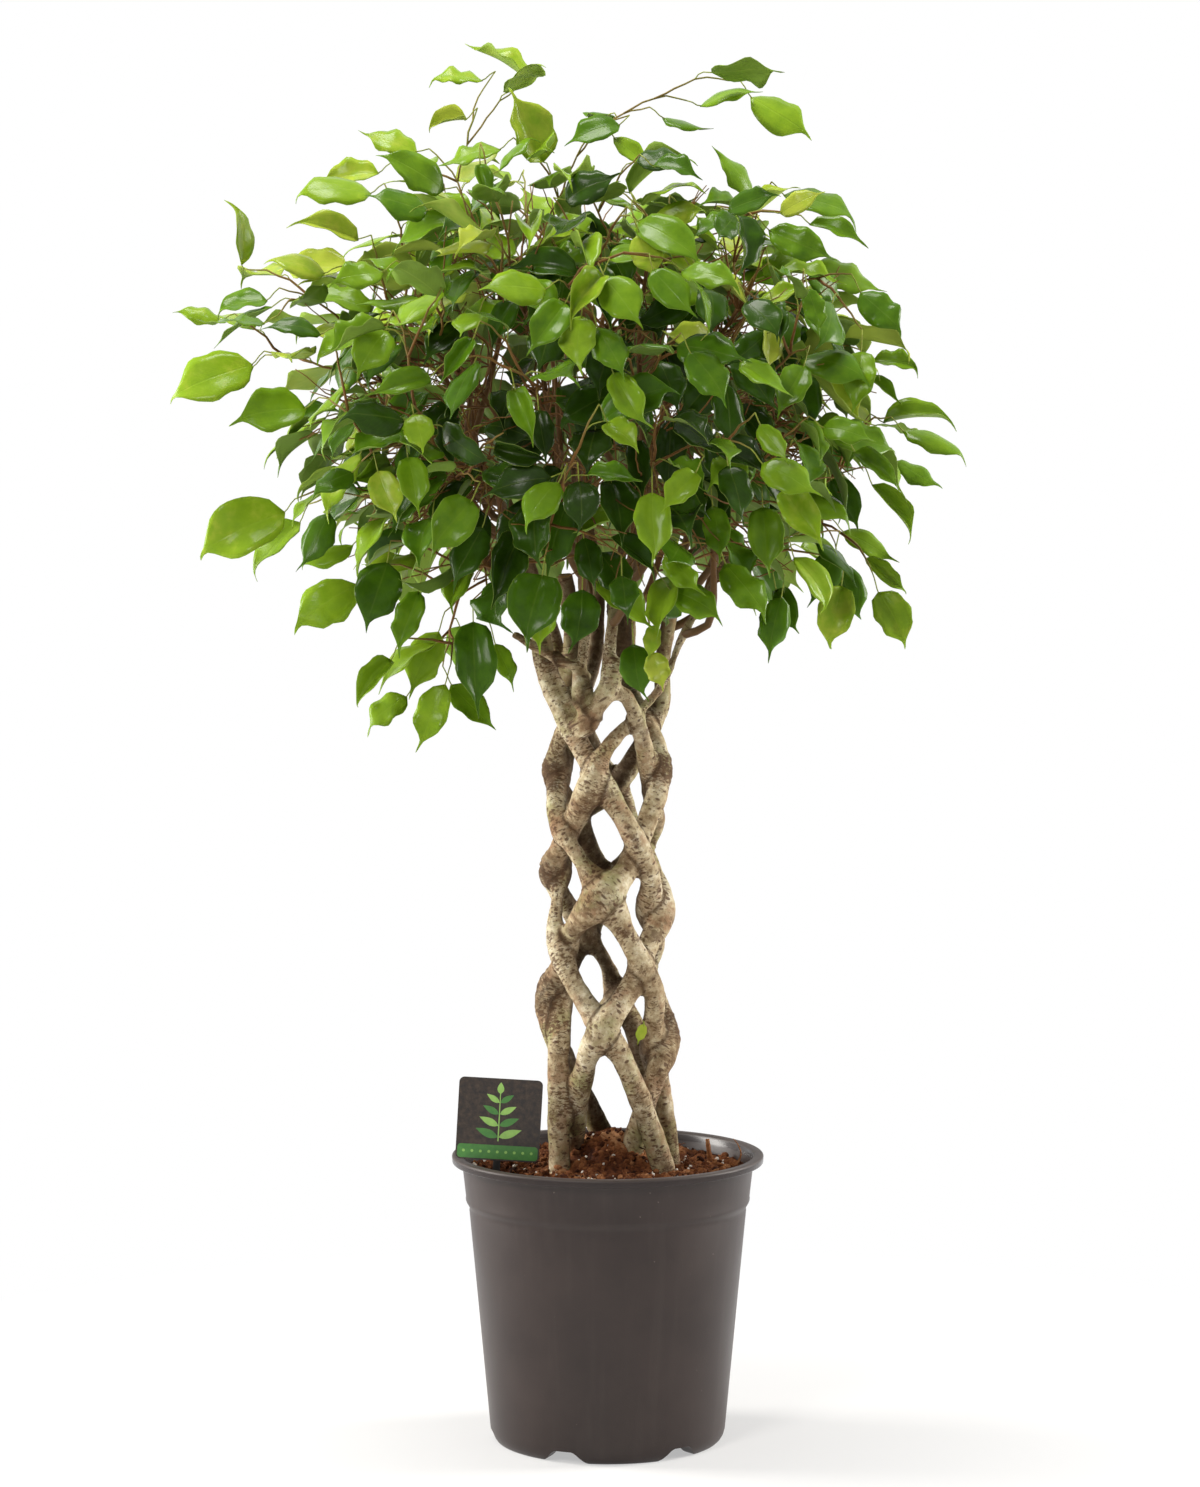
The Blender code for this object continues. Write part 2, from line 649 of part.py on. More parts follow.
def limb_path(leader, start, goal, swing):
    """A limb leaves its leader outwards, swung by some degrees, then climbs and levels off at its goal."""
    root = leader[start]
    along = (leader[start] - leader[start - 1]).normalized()
    away = goal - root
    flat = Vector((away.x, away.y, 0.0)) + Vector((root.x, root.y, 0.0)) * 0.5
    flat.normalize()
    flat.rotate(Matrix.Rotation(math.radians(swing), 3, "Z"))
    first = root + (along * 0.5 + flat * 0.7) * away.length * 0.22
    second = root + away * 0.62 + Vector((0.0, 0.0, away.length * 0.07))
    return smooth([root, first, second, goal], max(0.024, away.length / 4))


def leaf_frame(base, heading, facing):
    """The leaf's matrix: X along its midrib, Z out of its upper face, with the base at its origin."""
    along = heading.normalized()
    upper = facing - along * facing.dot(along)
    if upper.length < 1e-4:
        upper = along.orthogonal()
    upper.normalize()
    across = upper.cross(along)
    turn = Matrix((along, across, upper)).transposed().to_4x4()
    return Matrix.Translation(base) @ turn


def leaf_blade(length, grow=0.0):
    """A flat closed blade: a two-sided pyramid drawn out to an ovate outline with a pointed tip."""
    bm = bmesh.new()
    bmesh.ops.create_uvsphere(bm, u_segments=8, v_segments=2, radius=1.0)
    for vert in bm.verts:
        x, y, z = vert.co
        if abs(z) > 0.5:
            share = 0.40
            place = Vector((share * length, 0.0, z * (LEAF_THICKNESS / 2 + grow)))
        else:
            share = 0.5 + 0.5 * x
            width = LEAF_WIDTH * length / 2 * (1.18 if x < -0.3 else 1.0 if x < 0.3 else 0.42)
            share = share ** 1.25 if x > 0.3 else share
            place = Vector((share * length, y * (width + grow), 0.0))
        place.z -= LEAF_DROOP * length * share**2
        vert.co = place
    return bm


def shoot_facing(base, square):
    """Which way a leaf's upper face looks: up, and outwards the squarer it faces the viewer's side."""
    outward = base - CROWN_CENTRE
    outward.z *= 0.3
    outward.normalize()
    return outward * square + Vector((0.0, 0.0, 1.15 - square))


def feature_shoots():
    for x, y, z, degrees, length, square, shade in SHOOTS:
        turn = math.radians(degrees)
        base = Vector((x, y, z))
        heading = Vector((math.cos(turn), 0.45 * y / CROWN_RADII.y, math.sin(turn)))
        front = Vector((0.0, -1.0, 0.25)) * square + Vector((0.0, 0.0, 1.0 - square))
        yield base, heading, front, length, shade


def fill_shoots(taken):
    """Shoots over the rest of the dome, away from the taken places: level above and hanging below."""
    chance = random.Random(SEED)
    for turn, rise in spiral(FILL_SHOOTS, math.radians(-42), math.radians(84)):
        reach = chance.uniform(0.80, 0.97)
        base = dome_point(turn + chance.uniform(-0.12, 0.12), rise + chance.uniform(-0.08, 0.08), reach)
        if min((base - other).length for other in taken) < FILL_APART:
            continue
        out = (base - CROWN_CENTRE).normalized()
        sink = mix(1.1, 0.15, ramp(math.sin(rise), -0.6, 0.7))
        swing = Vector((chance.uniform(-0.4, 0.4), chance.uniform(-0.4, 0.4), 0.0))
        heading = Vector((out.x, out.y, 0.0)) + swing - Vector((0.0, 0.0, sink))
        square = mix(0.9, 0.3, ramp(math.sin(rise), -0.5, 0.6))
        length = chance.uniform(*LEAF_LENGTH)
        shade = ramp(base.z + chance.uniform(-0.12, 0.12), 0.62, 1.0)
        yield base, heading, shoot_facing(base, square), length, shade


def envelope_tube(points, radius):
    """A square tube that holds a round one of this radius, as a BVH tree for the clearance test."""
    corner_reach = radius * math.sqrt(2.0)
    verts, faces = [], []
    for number, point in enumerate(points):
        ahead = points[min(number + 1, len(points) - 1)] - points[max(number - 1, 0)]
        side = ahead.orthogonal().normalized()
        other = ahead.normalized().cross(side)
        for corner in range(4):
            turn = 0.5 * math.pi * corner
            verts.append(point + (side * math.cos(turn) + other * math.sin(turn)) * corner_reach)
    for ring in range(len(points) - 1):
        for corner in range(4):
            a, b = 4 * ring + corner, 4 * ring + (corner + 1) % 4
            faces.append((a, b, b + 4, a + 4))
    return BVHTree.FromPolygons(verts, faces)


def envelope_leaf(place, length):
    bm = leaf_blade(length, CLEARANCE)
    bm.transform(place)
    tree = BVHTree.FromBMesh(bm)
    bm.free()
    return tree


class Clearance:
    """What is already placed. A new twig or leaf must keep clear of what belongs to another branch."""

    def __init__(self):
        self.placed = []

    def add(self, owner, kind, tree):
        self.placed.append((owner, kind, tree))

    def free(self, owner, kind, tree):
        for other, other_kind, placed in self.placed:
            joined = other == owner and not (kind == "leaf" and other_kind == "leaf")
            if not joined and tree.overlap(placed):
                return False
        return True


def nearest_limb(base, limbs):
    """The limb and the point on its outer half that a shoot grows from."""
    best = None
    for limb in limbs:
        path = limb["path"]
        for place in range(len(path) // 2, len(path)):
            distance = (path[place] - base).length
            if best is None or distance < best[0]:
                best = (distance, limb, place)
    return best[1], best[2]


def twig_path(limb, place, base, heading, arch):
    """A twig leaves its limb, rises a little, and comes down along the leaf that ends it."""
    root = limb["path"][place]
    away = base - root
    lift = Vector((0.0, 0.0, arch * away.length))
    middle = root + away * 0.5 + lift
    entry = base + heading.normalized() * 0.006
    return smooth([root, middle, base, entry], max(0.036, away.length / 2))


def limb_tries(wanted, tip):
    """The places on a leader and the swings that a limb tries, the best first."""
    for swing in (0, 35, -35, 70, -70, 110, -110):
        for start in (wanted, wanted - 1, wanted + 1):
            if 1 <= start <= tip:
                yield start, swing


def grow_limbs(made, clearance):
    leaders = [[point for point in stem["path"] if point.z > LEADER_FOOT] for stem in made]
    goals = limb_goals()
    owned = share_limbs(goals, leaders)
    limbs = []
    for number, leader in enumerate(leaders):
        rising = sorted(owned[number], key=lambda limb: goals[limb].z)
        tip = len(leader) - 1
        for order, limb in enumerate(rising):
            wanted = 1 + round((tip - 1) * order / max(1, len(rising) - 1))
            for start, swing in limb_tries(wanted, tip):
                path = limb_path(leader, start, goals[limb], swing)
                tree = envelope_tube(path, LIMB_BASE + CLEARANCE)
                if clearance.free(("stem", number), "wood", tree):
                    name = f"branch_{len(limbs) + 1:02d}"
                    base = min(LIMB_BASE, stem_radius(path[0].z, STEMS[number][3]) - 0.0004)
                    radii = [mix(base, LIMB_TIP, step / (len(path) - 1)) for step in range(len(path))]
                    limbs.append({"name": name, "stem": number, "path": path, "radii": radii, "leaves": []})
                    clearance.add(name, "wood", tree)
                    break
    return limbs


def tip_shoots(limbs):
    """A shoot past the end of each limb that carries none yet."""
    for limb in limbs:
        if not limb["leaves"]:
            tip = limb["path"][-1]
            out = (tip - CROWN_CENTRE).normalized()
            heading = Vector((out.x, out.y, out.z - 0.6))
            yield tip + out * LEAF_LENGTH[0], heading, shoot_facing(tip, 0.5), LEAF_LENGTH[0], 0.5


def grow_shoots(limbs, clearance):
    outline = list(feature_shoots())
    fill = fill_shoots([base for base, *_ in outline])
    for shoot in [*outline, *fill]:
        place_shoot(shoot, limbs, clearance)
    for shoot in tip_shoots(limbs):
        place_shoot(shoot, limbs, clearance)


def place_shoot(shoot, limbs, clearance):
    """Puts a twig and its leaf on the nearest limb, arched so that both keep clear, or leaves it out."""
    base, heading, facing, length, shade = shoot
    limb, place = nearest_limb(base, limbs)
    frame = leaf_frame(base, heading, facing)
    leaf_tree = envelope_leaf(frame, length)
    if not clearance.free(limb["name"], "leaf", leaf_tree):
        return
    for arch in (0.12, 0.02, 0.22, -0.08, 0.32):
        path = twig_path(limb, place, base, heading, arch)
        tree = envelope_tube(path, TWIG_RADIUS + CLEARANCE)
        if clearance.free(limb["name"], "wood", tree):
            limb["leaves"].append((path, frame, length, shade))
            clearance.add(limb["name"], "wood", tree)
            clearance.add(limb["name"], "leaf", leaf_tree)
            return


def build_branch(limb, parts, tools, seat):
    """One limb with its twigs and leaves, joined in one solid and seated against its stem."""
    shades = [shade for *_, shade in limb["leaves"]]
    share = sum(shades) / len(shades)
    colour = [mix(dark, bright, share) for dark, bright in zip(LEAF_DARK, LEAF_BRIGHT)]
    look = material(f"leaves of {limb['name']}", colour, 0.4)
    body = rod(limb["name"], limb["path"], limb["radii"], parts, look, sides=6)
    pieces = bpy.data.collections.new(f"{limb['name']} pieces")
    tools.children.link(pieces)
    for number, (path, frame, length, _) in enumerate(limb["leaves"]):
        hide(rod(f"{limb['name']} twig {number}", path, [TWIG_RADIUS] * len(path), pieces, sides=4))
        bm = leaf_blade(length)
        bm.transform(frame)
        hide(from_bmesh(f"{limb['name']} leaf {number}", bm, pieces))
    boolean(body, "UNION", pieces)
    boolean(body, "DIFFERENCE", seat)
    body.data.materials.clear()
    body.data.materials.append(look)
    return body


def main():
    clear_scene()
    parts = collection("potted weeping fig")
    tools = collection("cutters")
    tools.hide_render = True
    pot(parts, tools)
    ground = soil(parts)
    boolean(ground, "DIFFERENCE", label(parts, tools))
    made = stems(parts, tools)
    for stem in made:
        boolean(ground, "DIFFERENCE", stem["seat"])
    clearance = Clearance()
    for number, stem in enumerate(made):
        clearance.add(("stem", number), "wood", envelope_tube(stem["path"], STEM_WAIST))
    limbs = grow_limbs(made, clearance)
    grow_shoots(limbs, clearance)
    for limb in limbs:
        build_branch(limb, parts, tools, made[limb["stem"]]["seat"])


main()
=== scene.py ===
"""The looks of a weeping fig in its nursery pot: a woven trunk, a leafy crown, soil, a label and the pot.

Metres, +Z up, in the frame's own coordinates. Azimuths are in degrees, from the front (-Y) towards +X.
The layout of pot, stems and limbs repeats that of the solids, so that each piece stands where they do. Only
in here are STRAYS, SWELLINGS, KNOTS, BRIDGES and the last group of SHOOTS, and one leader at the back runs
up to 12 mm further right.
"""

import json
import math
import random
from collections import namedtuple
from dataclasses import dataclass

import bmesh
import bpy
import numpy as np
from mathutils import Matrix, Vector, kdtree, noise
from mathutils.bvhtree import BVHTree

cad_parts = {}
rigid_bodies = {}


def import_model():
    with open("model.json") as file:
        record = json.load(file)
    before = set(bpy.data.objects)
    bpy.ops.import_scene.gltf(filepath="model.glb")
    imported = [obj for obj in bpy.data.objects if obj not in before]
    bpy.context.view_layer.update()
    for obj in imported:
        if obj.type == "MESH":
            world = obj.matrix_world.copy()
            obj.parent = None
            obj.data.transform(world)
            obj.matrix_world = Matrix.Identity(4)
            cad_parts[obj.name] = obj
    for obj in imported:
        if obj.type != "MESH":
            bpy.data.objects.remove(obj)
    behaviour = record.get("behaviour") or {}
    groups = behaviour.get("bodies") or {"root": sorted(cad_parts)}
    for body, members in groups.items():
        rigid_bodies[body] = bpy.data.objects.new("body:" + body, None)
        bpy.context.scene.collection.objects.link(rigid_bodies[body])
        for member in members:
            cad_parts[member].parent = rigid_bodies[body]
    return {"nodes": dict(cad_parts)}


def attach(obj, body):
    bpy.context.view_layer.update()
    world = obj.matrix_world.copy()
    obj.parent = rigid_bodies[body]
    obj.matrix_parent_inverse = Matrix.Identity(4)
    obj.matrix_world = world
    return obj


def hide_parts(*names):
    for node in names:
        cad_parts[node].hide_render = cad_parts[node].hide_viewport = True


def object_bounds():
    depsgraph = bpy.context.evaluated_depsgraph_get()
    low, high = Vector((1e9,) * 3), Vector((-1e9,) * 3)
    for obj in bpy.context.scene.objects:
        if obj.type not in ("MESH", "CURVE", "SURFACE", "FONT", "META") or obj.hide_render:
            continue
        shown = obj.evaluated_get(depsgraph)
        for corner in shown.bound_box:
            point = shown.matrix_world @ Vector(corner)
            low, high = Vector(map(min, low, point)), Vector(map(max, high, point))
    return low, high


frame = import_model()
cad_box = [list(corner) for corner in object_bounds()]

# ---- layout, as in the solids

POT_TOP = 0.222
RIM_RADIUS = 0.120
RIM_DEPTH = 0.006
RIM_INNER = 0.113
WALL = 0.0016
COLLAR_BOTTOM = 0.180
COLLAR_TOP = 0.1865
WALL_UNDER_RIM = 0.1122
COLLAR_RADIUS = 0.1090
WALL_UNDER_COLLAR = 0.1068
WALL_AT_BASE = 0.0912
BASE_CORNER = 0.014
FOOT_OUTER = 0.085
FOOT_INNER = 0.074
FLOOR_HEIGHT = 0.0105
PAD_RADIUS = 0.030
NOTCHES = 6
FIRST_NOTCH = -22.0
NOTCH_BOTTOM, NOTCH_TOP, NOTCH_HEIGHT = 0.033, 0.012, 0.0095
DRAIN_RADIUS, DRAIN_RING = 0.005, 0.066

SOIL_AT_WALL = 0.2095
SOIL_MOUND = 0.231
MOUND_RADIUS = 0.058
ROOT_DEPTH = 0.055

CARD_CENTRE = (-0.0825, -0.046, 0.2555)
CARD_SIZE = (0.0635, 0.0007, 0.0625)
CARD_CORNER = 0.004
CARD_LEAN = (-2.0, 3.3)
STAKE_SIZE = (0.0056, 0.0012, 0.095)
STAKE_HEAD = (0.026, 0.010)
STAKE_TOP = 0.018

PITCH = 0.402
FIRST_CROSSING = 0.3185
LATTICE_FOOT, LATTICE_TOP = 0.292, 0.540
RING_FOOT, RING_TOP = 0.0402, 0.0362
WEAVE = 0.0055
STEM_FOOT, STEM_WAIST, STEM_TIP = 0.0095, 0.0088, 0.0036
# How the real crossings stand off the even lattice: a crossing's azimuth and level, how many degrees it is
# turned, and how far it is raised and pushed outwards.
PULLS = (
    (20, 0.2920, 2, -0.002, 0.0),
    (204, 0.2920, -16, 0.014, 0.0),
    (246, 0.2920, 14, 0.021, 0.0),
    (294, 0.2920, 0, 0.020, 0.0),
    (336, 0.2920, 0, 0.000, 0.0),
    (0, 0.3185, -12, 0.004, 0.0),
    (90, 0.3185, -4, -0.016, 0.0),
    (180, 0.3185, -12, 0.014, 0.0),
    (270, 0.3185, -12, 0.027, 0.0),
    (45, 0.3688, -2, -0.002, 0.0),
    (135, 0.3688, -5, 0.004, 0.0),
    (225, 0.3688, -18, 0.008, 0.0),
    (315, 0.3688, -18, 0.016, 0.0),
    (0, 0.4190, -5, 0.008, 0.0),
    (90, 0.4190, -5, -0.007, -0.002),
    (180, 0.4190, 2, 0.006, 0.0),
    (270, 0.4190, -8, 0.021, 0.0),
    (45, 0.4693, -8, -0.019, 0.0),
    (135, 0.4693, -2, -0.006, 0.0),
    (225, 0.4693, -4, 0.006, 0.0),
    (315, 0.4693, -16, 0.011, 0.0),
    (22, 0.4945, -5, -0.008, 0.0),
    (290, 0.4970, -14, 0.000, 0.004),
    (338, 0.4945, -3, 0.000, 0.0),
    (0, 0.5195, -22, -0.003, 0.0),
    (90, 0.5195, -15, -0.002, 0.002),
    (180, 0.5195, -11, -0.014, 0.0),
    (270, 0.5195, -12, -0.004, 0.0),
    (72, 0.5450, -26, -0.002, 0.0),
    (162, 0.5450, -22, -0.020, 0.0),
    (198, 0.5450, 10, -0.010, 0.0),
)
PULL_REACH = 0.022
# Where one stem by itself strays from there, which the solids leave out: the stem, its level on the even
# lattice, and how far it is turned and pushed outwards.
STRAYS = (
    ("a", 270, 0.292, 24, 0.001),
    ("a", 180, 0.354, -15, 0.0),
    ("a", 180, 0.385, -7, 0.0),
    ("a", 90, 0.385, 11, 0.0),
    ("a", 0, 0.492, 12, 0.0),
    ("b", 0, 0.532, -10, 0.0),
    ("b", 90, 0.512, 0, 0.003),
    ("b", 0, 0.416, 0, 0.003),
)
STRAY_REACH = 0.018

CROWN_CENTRE = Vector((-0.018, 0.0, 0.800))
CROWN_RADII = Vector((0.262, 0.250, 0.205))
LIMBS, MOST_LIMBS = 34, 5  # in all, and on one leader
LEADER_FOOT = 0.585
LIMB_REACH = 0.60
LIMB_BASE, LIMB_TIP = 0.0034, 0.0017

# Each woven stem: which way it winds, its azimuth at FIRST_CROSSING, where its foot stands, how thick its
# leader is next to the woven part, and the points that the leader climbs through above the lattice.
STEMS = (
    (
        "a", 0, (-0.028, 0.004), 1.0,
        ((-0.0265, 0.0274, 0.570), (-0.037, 0.021, 0.603), (-0.055, 0.022, 0.660), (-0.078, 0.030, 0.730)),
    ),
    (
        "a", 90, (0.019, -0.008), 0.68,
        ((-0.027, -0.014, 0.568), (-0.021, -0.033, 0.592), (-0.0175, -0.036, 0.640), (-0.026, -0.036, 0.750)),
    ),
    (
        "a", 180, (0.029, 0.026), 0.50,
        ((0.0266, -0.027, 0.5665), (0.042, -0.0245, 0.587), (0.0615, -0.022, 0.6305), (0.100, -0.020, 0.695)),
    ),
    (
        "a", 270, (0.001, 0.033), 1.0,
        ((0.0235, 0.0170, 0.562), (0.0155, 0.029, 0.590), (0.018, 0.045, 0.655), (0.024, 0.060, 0.745)),
    ),
    (
        "b", 0, (0.043, -0.021), 0.9,
        ((0.0405, 0.0175, 0.566), (0.042, 0.014, 0.600), (0.052, 0.012, 0.660), (0.072, 0.016, 0.735)),
    ),
    (
        "b", 90, (0.048, 0.010), 1.0,
        ((-0.0230, 0.0355, 0.570), (-0.011, 0.040, 0.603), (-0.008, 0.046, 0.665), (-0.024, 0.062, 0.750)),
    ),
    (
        "b", 180, (-0.036, 0.034), 1.28,
        ((-0.036, -0.0225, 0.571), (-0.048, -0.019, 0.601), (-0.054, -0.017, 0.645), (-0.076, -0.020, 0.720)),
    ),
    (
        "b", 270, (-0.037, -0.027), 0.82,
        ((0.0230, -0.0335, 0.556), (0.0135, -0.041, 0.577), (0.0000, -0.043, 0.596), (0.018, -0.040, 0.740)),
    ),
)

# The shoots that give the crown its outline and its front, each ending in one leaf: where the leaf's stalk
# ends (millimetres), the way the leaf points seen from the front (degrees from +X towards +Z), its length
# (millimetres), how squarely it faces the front, and its shade from old dark growth to new yellow growth,
# which also holds painted light and shade (both in percent).
SHOOTS = (
    # top
    (-63, 0, 1046, 146, 56, 12, 85), (-95, 12, 1042, 185, 45, 30, 80), (-49, -60, 976, 118, 62, 90, 90),
    (-106, -20, 1010, 202, 34, 40, 100), (-79, -76, 983, 195, 50, 40, 70),
    (-144, -10, 986, 160, 48, 60, 80), (-119, -120, 950, 156, 62, 80, 55), (-174, 10, 972, 192, 50, 50, 85),
    (-183, -100, 915, 165, 56, 80, 90), (69, 0, 1022, 14, 50, 30, 70), (108, 4, 1029, -37, 58, 40, 75),
    (9, -50, 1003, 200, 46, 60, 45), (106, -100, 948, 130, 48, 50, 60), (-31, -150, 940, 23, 48, 80, 10),
    # left
    (-278, 0, 902, 103, 54, 7, 85), (-207, -110, 890, 173, 50, 60, 90), (-256, -30, 874, 200, 46, 50, 50),
    (-294, 10, 861, 172, 40, 50, 80), (-270, 0, 827, 204, 78, 90, 85), (-219, -140, 791, 192, 60, 60, 70),
    (-246, 0, 715, 210, 85, 80, 85), (-237, 34, 707, 231, 62, 50, 80), (-187, -70, 662, 218, 66, 80, 80),
    (-161, -134, 680, 255, 62, 90, 20), (-161, -80, 606, 233, 50, 80, 75),
    (-151, -50, 577, 220, 44, 50, 80), (-121, -80, 588, 245, 56, 60, 60), (-99, -120, 636, 272, 74, 90, 10),
    (-119, -30, 585, 309, 52, 70, 45),
    # right
    (133, 0, 955, -23, 66, 40, 50), (116, -135, 920, -24, 56, 80, 50), (156, 0, 903, -24, 60, 60, 60),
    (185, -100, 877, -48, 50, 80, 35), (184, -130, 833, -95, 54, 80, 60), (201, 0, 829, -17, 42, 50, 60),
    (210, 10, 783, -3, 60, 40, 65), (222, -30, 776, -28, 60, 40, 60), (179, -135, 760, -44, 50, 70, 50),
    (201, 0, 736, -55, 58, 60, 70), (180, 20, 700, -26, 50, 50, 60), (196, 0, 680, -44, 46, 70, 70),
    (204, -30, 655, -63, 52, 80, 75), (174, -70, 661, -103, 56, 90, 80), (130, -60, 653, -104, 52, 90, 20),
    # front
    (-126, -205, 812, 200, 52, 80, 65), (-44, -205, 874, 185, 56, 80, 85), (-4, -215, 884, 231, 52, 90, 95),
    (21, -180, 923, -34, 66, 80, 65), (51, -205, 886, -24, 54, 50, 70), (-66, -225, 803, -69, 50, 100, 65),
    (3, -230, 815, -61, 52, 90, 80), (57, -215, 830, -51, 52, 70, 55), (140, -175, 821, 242, 50, 90, 50),
    (-97, -200, 725, 230, 56, 90, 65), (-143, -195, 756, -77, 48, 90, 75),
    (-35, -215, 738, 231, 54, 90, 70), (31, -210, 731, -89, 56, 100, 85), (126, -170, 733, -58, 58, 90, 85),
    (85, -195, 750, -74, 50, 80, 10), (-64, -140, 700, 249, 64, 90, 5), (-46, -110, 660, 264, 50, 100, 80),
    (113, -120, 720, -86, 56, 90, 60), (-9, -120, 665, -36, 58, 60, 65),
    # further leaves that stand out
    (-176, -55, 952, 189, 66, 50, 75), (-92, -105, 970, -80, 34, 90, 50),
    (-161, -168, 888, 194, 44, 50, 70), (-254, -76, 855, 179, 52, 40, 50),
    (-207, -154, 844, 174, 46, 50, 30), (-272, 30, 826, 198, 52, 60, 85),
    (-158, -193, 846, 240, 48, 80, 75), (-95, -222, 839, 235, 44, 80, 55),
    (-28, -225, 865, 230, 52, 90, 60), (-19, -228, 855, 263, 46, 90, 90),
    (-130, -146, 933, 172, 50, 70, 42), (41, 0, 1013, -11, 40, 40, 50), (4, -50, 994, -42, 38, 50, 80),
    (32, -122, 967, -16, 40, 40, 35), (125, -120, 933, 24, 38, 80, 100), (147, -106, 926, -22, 48, 50, 50),
    (86, -149, 933, 12, 44, 70, 30), (143, -163, 877, -72, 38, 60, 45), (197, 0, 817, -38, 34, 60, 50),
    (18, -188, 919, -64, 40, 80, 100), (-3, -216, 882, -53, 50, 80, 75), (-8, -231, 847, -63, 50, 80, 60),
    (93, -213, 823, -37, 48, 70, 70), (33, -208, 889, -52, 50, 80, 60), (98, -198, 866, -52, 44, 60, 15),
    (-203, -134, 716, 248, 52, 80, 35), (-194, 0, 690, 210, 50, 40, 75), (-138, -129, 659, 250, 56, 80, 40),
    (-127, -50, 626, 242, 56, 70, 60), (-85, -50, 617, -66, 40, 70, 70), (-91, -140, 706, 243, 56, 90, 15),
    (-32, -150, 725, 259, 60, 90, 35), (-138, -210, 786, -72, 36, 90, 90),
    (-165, -185, 746, -68, 42, 90, 100), (-144, -206, 781, 181, 56, 70, 10),
    (-21, -226, 739, -84, 48, 100, 5), (-19, -130, 660, -94, 50, 90, 15),
    (-183, -172, 745, 211, 40, 60, 40), (221, 30, 754, -35, 44, 50, 50), (171, -40, 686, 248, 48, 80, 15),
    (177, 20, 676, -74, 52, 70, 20), (127, -30, 657, -70, 40, 60, 20), (109, -199, 751, -30, 52, 70, 75),
    (107, -207, 779, -55, 38, 90, 75), (76, -130, 721, -81, 46, 90, 55), (62, -216, 745, 227, 42, 90, 90),
    (-1, -236, 780, -48, 38, 70, 90), (42, -150, 688, -49, 44, 70, 75), (46, -100, 658, -30, 50, 70, 50),
    (19, -60, 617, -84, 46, 80, 20), (35, -80, 632, 258, 28, 90, 90), (33, -80, 612, -74, 32, 100, 100),
    (153, -177, 777, -11, 42, 80, 50), (170, 0, 740, -65, 46, 60, 20),
)

# ---- helpers

UP = Vector((0.0, 0.0, 1.0))
CURVE_STEPS = 16


def around(azimuth, radius, height):
    """The point at this azimuth, radius and height."""
    turn = math.radians(azimuth)
    return Vector((radius * math.sin(turn), -radius * math.cos(turn), height))


def mix(low, high, share):
    return low + (high - low) * share


def taper(low, high, count):
    """Evenly spaced values from low to high."""
    return [mix(low, high, step / (count - 1)) for step in range(count)]


def clamp(value):
    return min(1.0, max(0.0, value))


def ramp(value, low, high):
    """0 below low, 1 above high, and straight between."""
    return clamp((value - low) / (high - low))


def ease(value, low, high):
    """The same with round shoulders."""
    share = ramp(value, low, high)
    return share * share * (3.0 - 2.0 * share)


def smooth(points, spacing):
    """Evenly spaced points on a Catmull-Rom curve through the given ones."""
    ends = [2 * points[0] - points[1], *points, 2 * points[-1] - points[-2]]
    fine = []
    for a, b, c, d in zip(ends, ends[1:], ends[2:], ends[3:]):
        for step in range(CURVE_STEPS):
            t = step / CURVE_STEPS
            bend = (2 * a - 5 * b + 4 * c - d) * t**2
            fine.append(0.5 * (2 * b + (c - a) * t + bend + (3 * b - a - 3 * c + d) * t**3))
    fine.append(points[-1].copy())
    return spaced(fine, spacing)


def spaced(line, spacing):
    """The same line with its points an even distance apart."""
    lengths = [0.0]
    for a, b in zip(line, line[1:]):
        lengths.append(lengths[-1] + (b - a).length)
    count = max(2, round(lengths[-1] / spacing))
    made = []
    piece = 0
    for number in range(count + 1):
        goal = lengths[-1] * number / count
        while piece < len(line) - 2 and lengths[piece + 1] < goal:
            piece += 1
        share = ramp(goal, lengths[piece], lengths[piece + 1])
        made.append(line[piece].lerp(line[piece + 1], share))
    return made


def tube(points, radii, sides):
    """Points and faces of a closed round tube along a line."""
    side = None
    made = []
    for number, (point, radius) in enumerate(zip(points, radii)):
        ahead = points[min(number + 1, len(points) - 1)] - points[max(number - 1, 0)]
        ahead.normalize()
        if side is None:
            side = ahead.orthogonal()
        side = (side - ahead * side.dot(ahead)).normalized()
        other = ahead.cross(side)
        for corner in range(sides):
            turn = math.tau * corner / sides
            made.append(point + (side * math.cos(turn) + other * math.sin(turn)) * radius)
    last = len(made) - sides
    faces = []
    for a in range(last):
        b = a - a % sides + (a + 1) % sides
        faces.append((a, b, b + sides, a + sides))
    return made, [*faces, tuple(reversed(range(sides))), tuple(range(last, len(made)))]


class Sheaf:
    """Gathers small shapes in one mesh, with values of their own at every point."""

    def __init__(self, *names):
        self.points, self.faces, self.slots = [], [], []
        self.values = {name: [] for name in names}

    def add(self, points, faces, slot=0, **values):
        first = len(self.points)
        self.points.extend(points)
        self.faces.extend(tuple(first + corner for corner in face) for face in faces)
        self.slots.extend([slot] * len(faces))
        for name, store in self.values.items():
            value = values.get(name, 0.0)
            store.extend(value if hasattr(value, "__len__") else [value] * len(points))

    def mesh(self, name):
        made = bpy.data.meshes.new(name)
        made.from_pydata(self.points, [], self.faces)
        for key, store in self.values.items():
            made.attributes.new(key, "FLOAT", "POINT").data.foreach_set("value", store)
        made.polygons.foreach_set("material_index", self.slots)
        made.shade_smooth()
        return made


def plain_object(name, mesh, *looks):
    obj = bpy.data.objects.new(name, mesh)
    bpy.context.scene.collection.objects.link(obj)
    for look in looks:
        mesh.materials.append(look)
    return obj


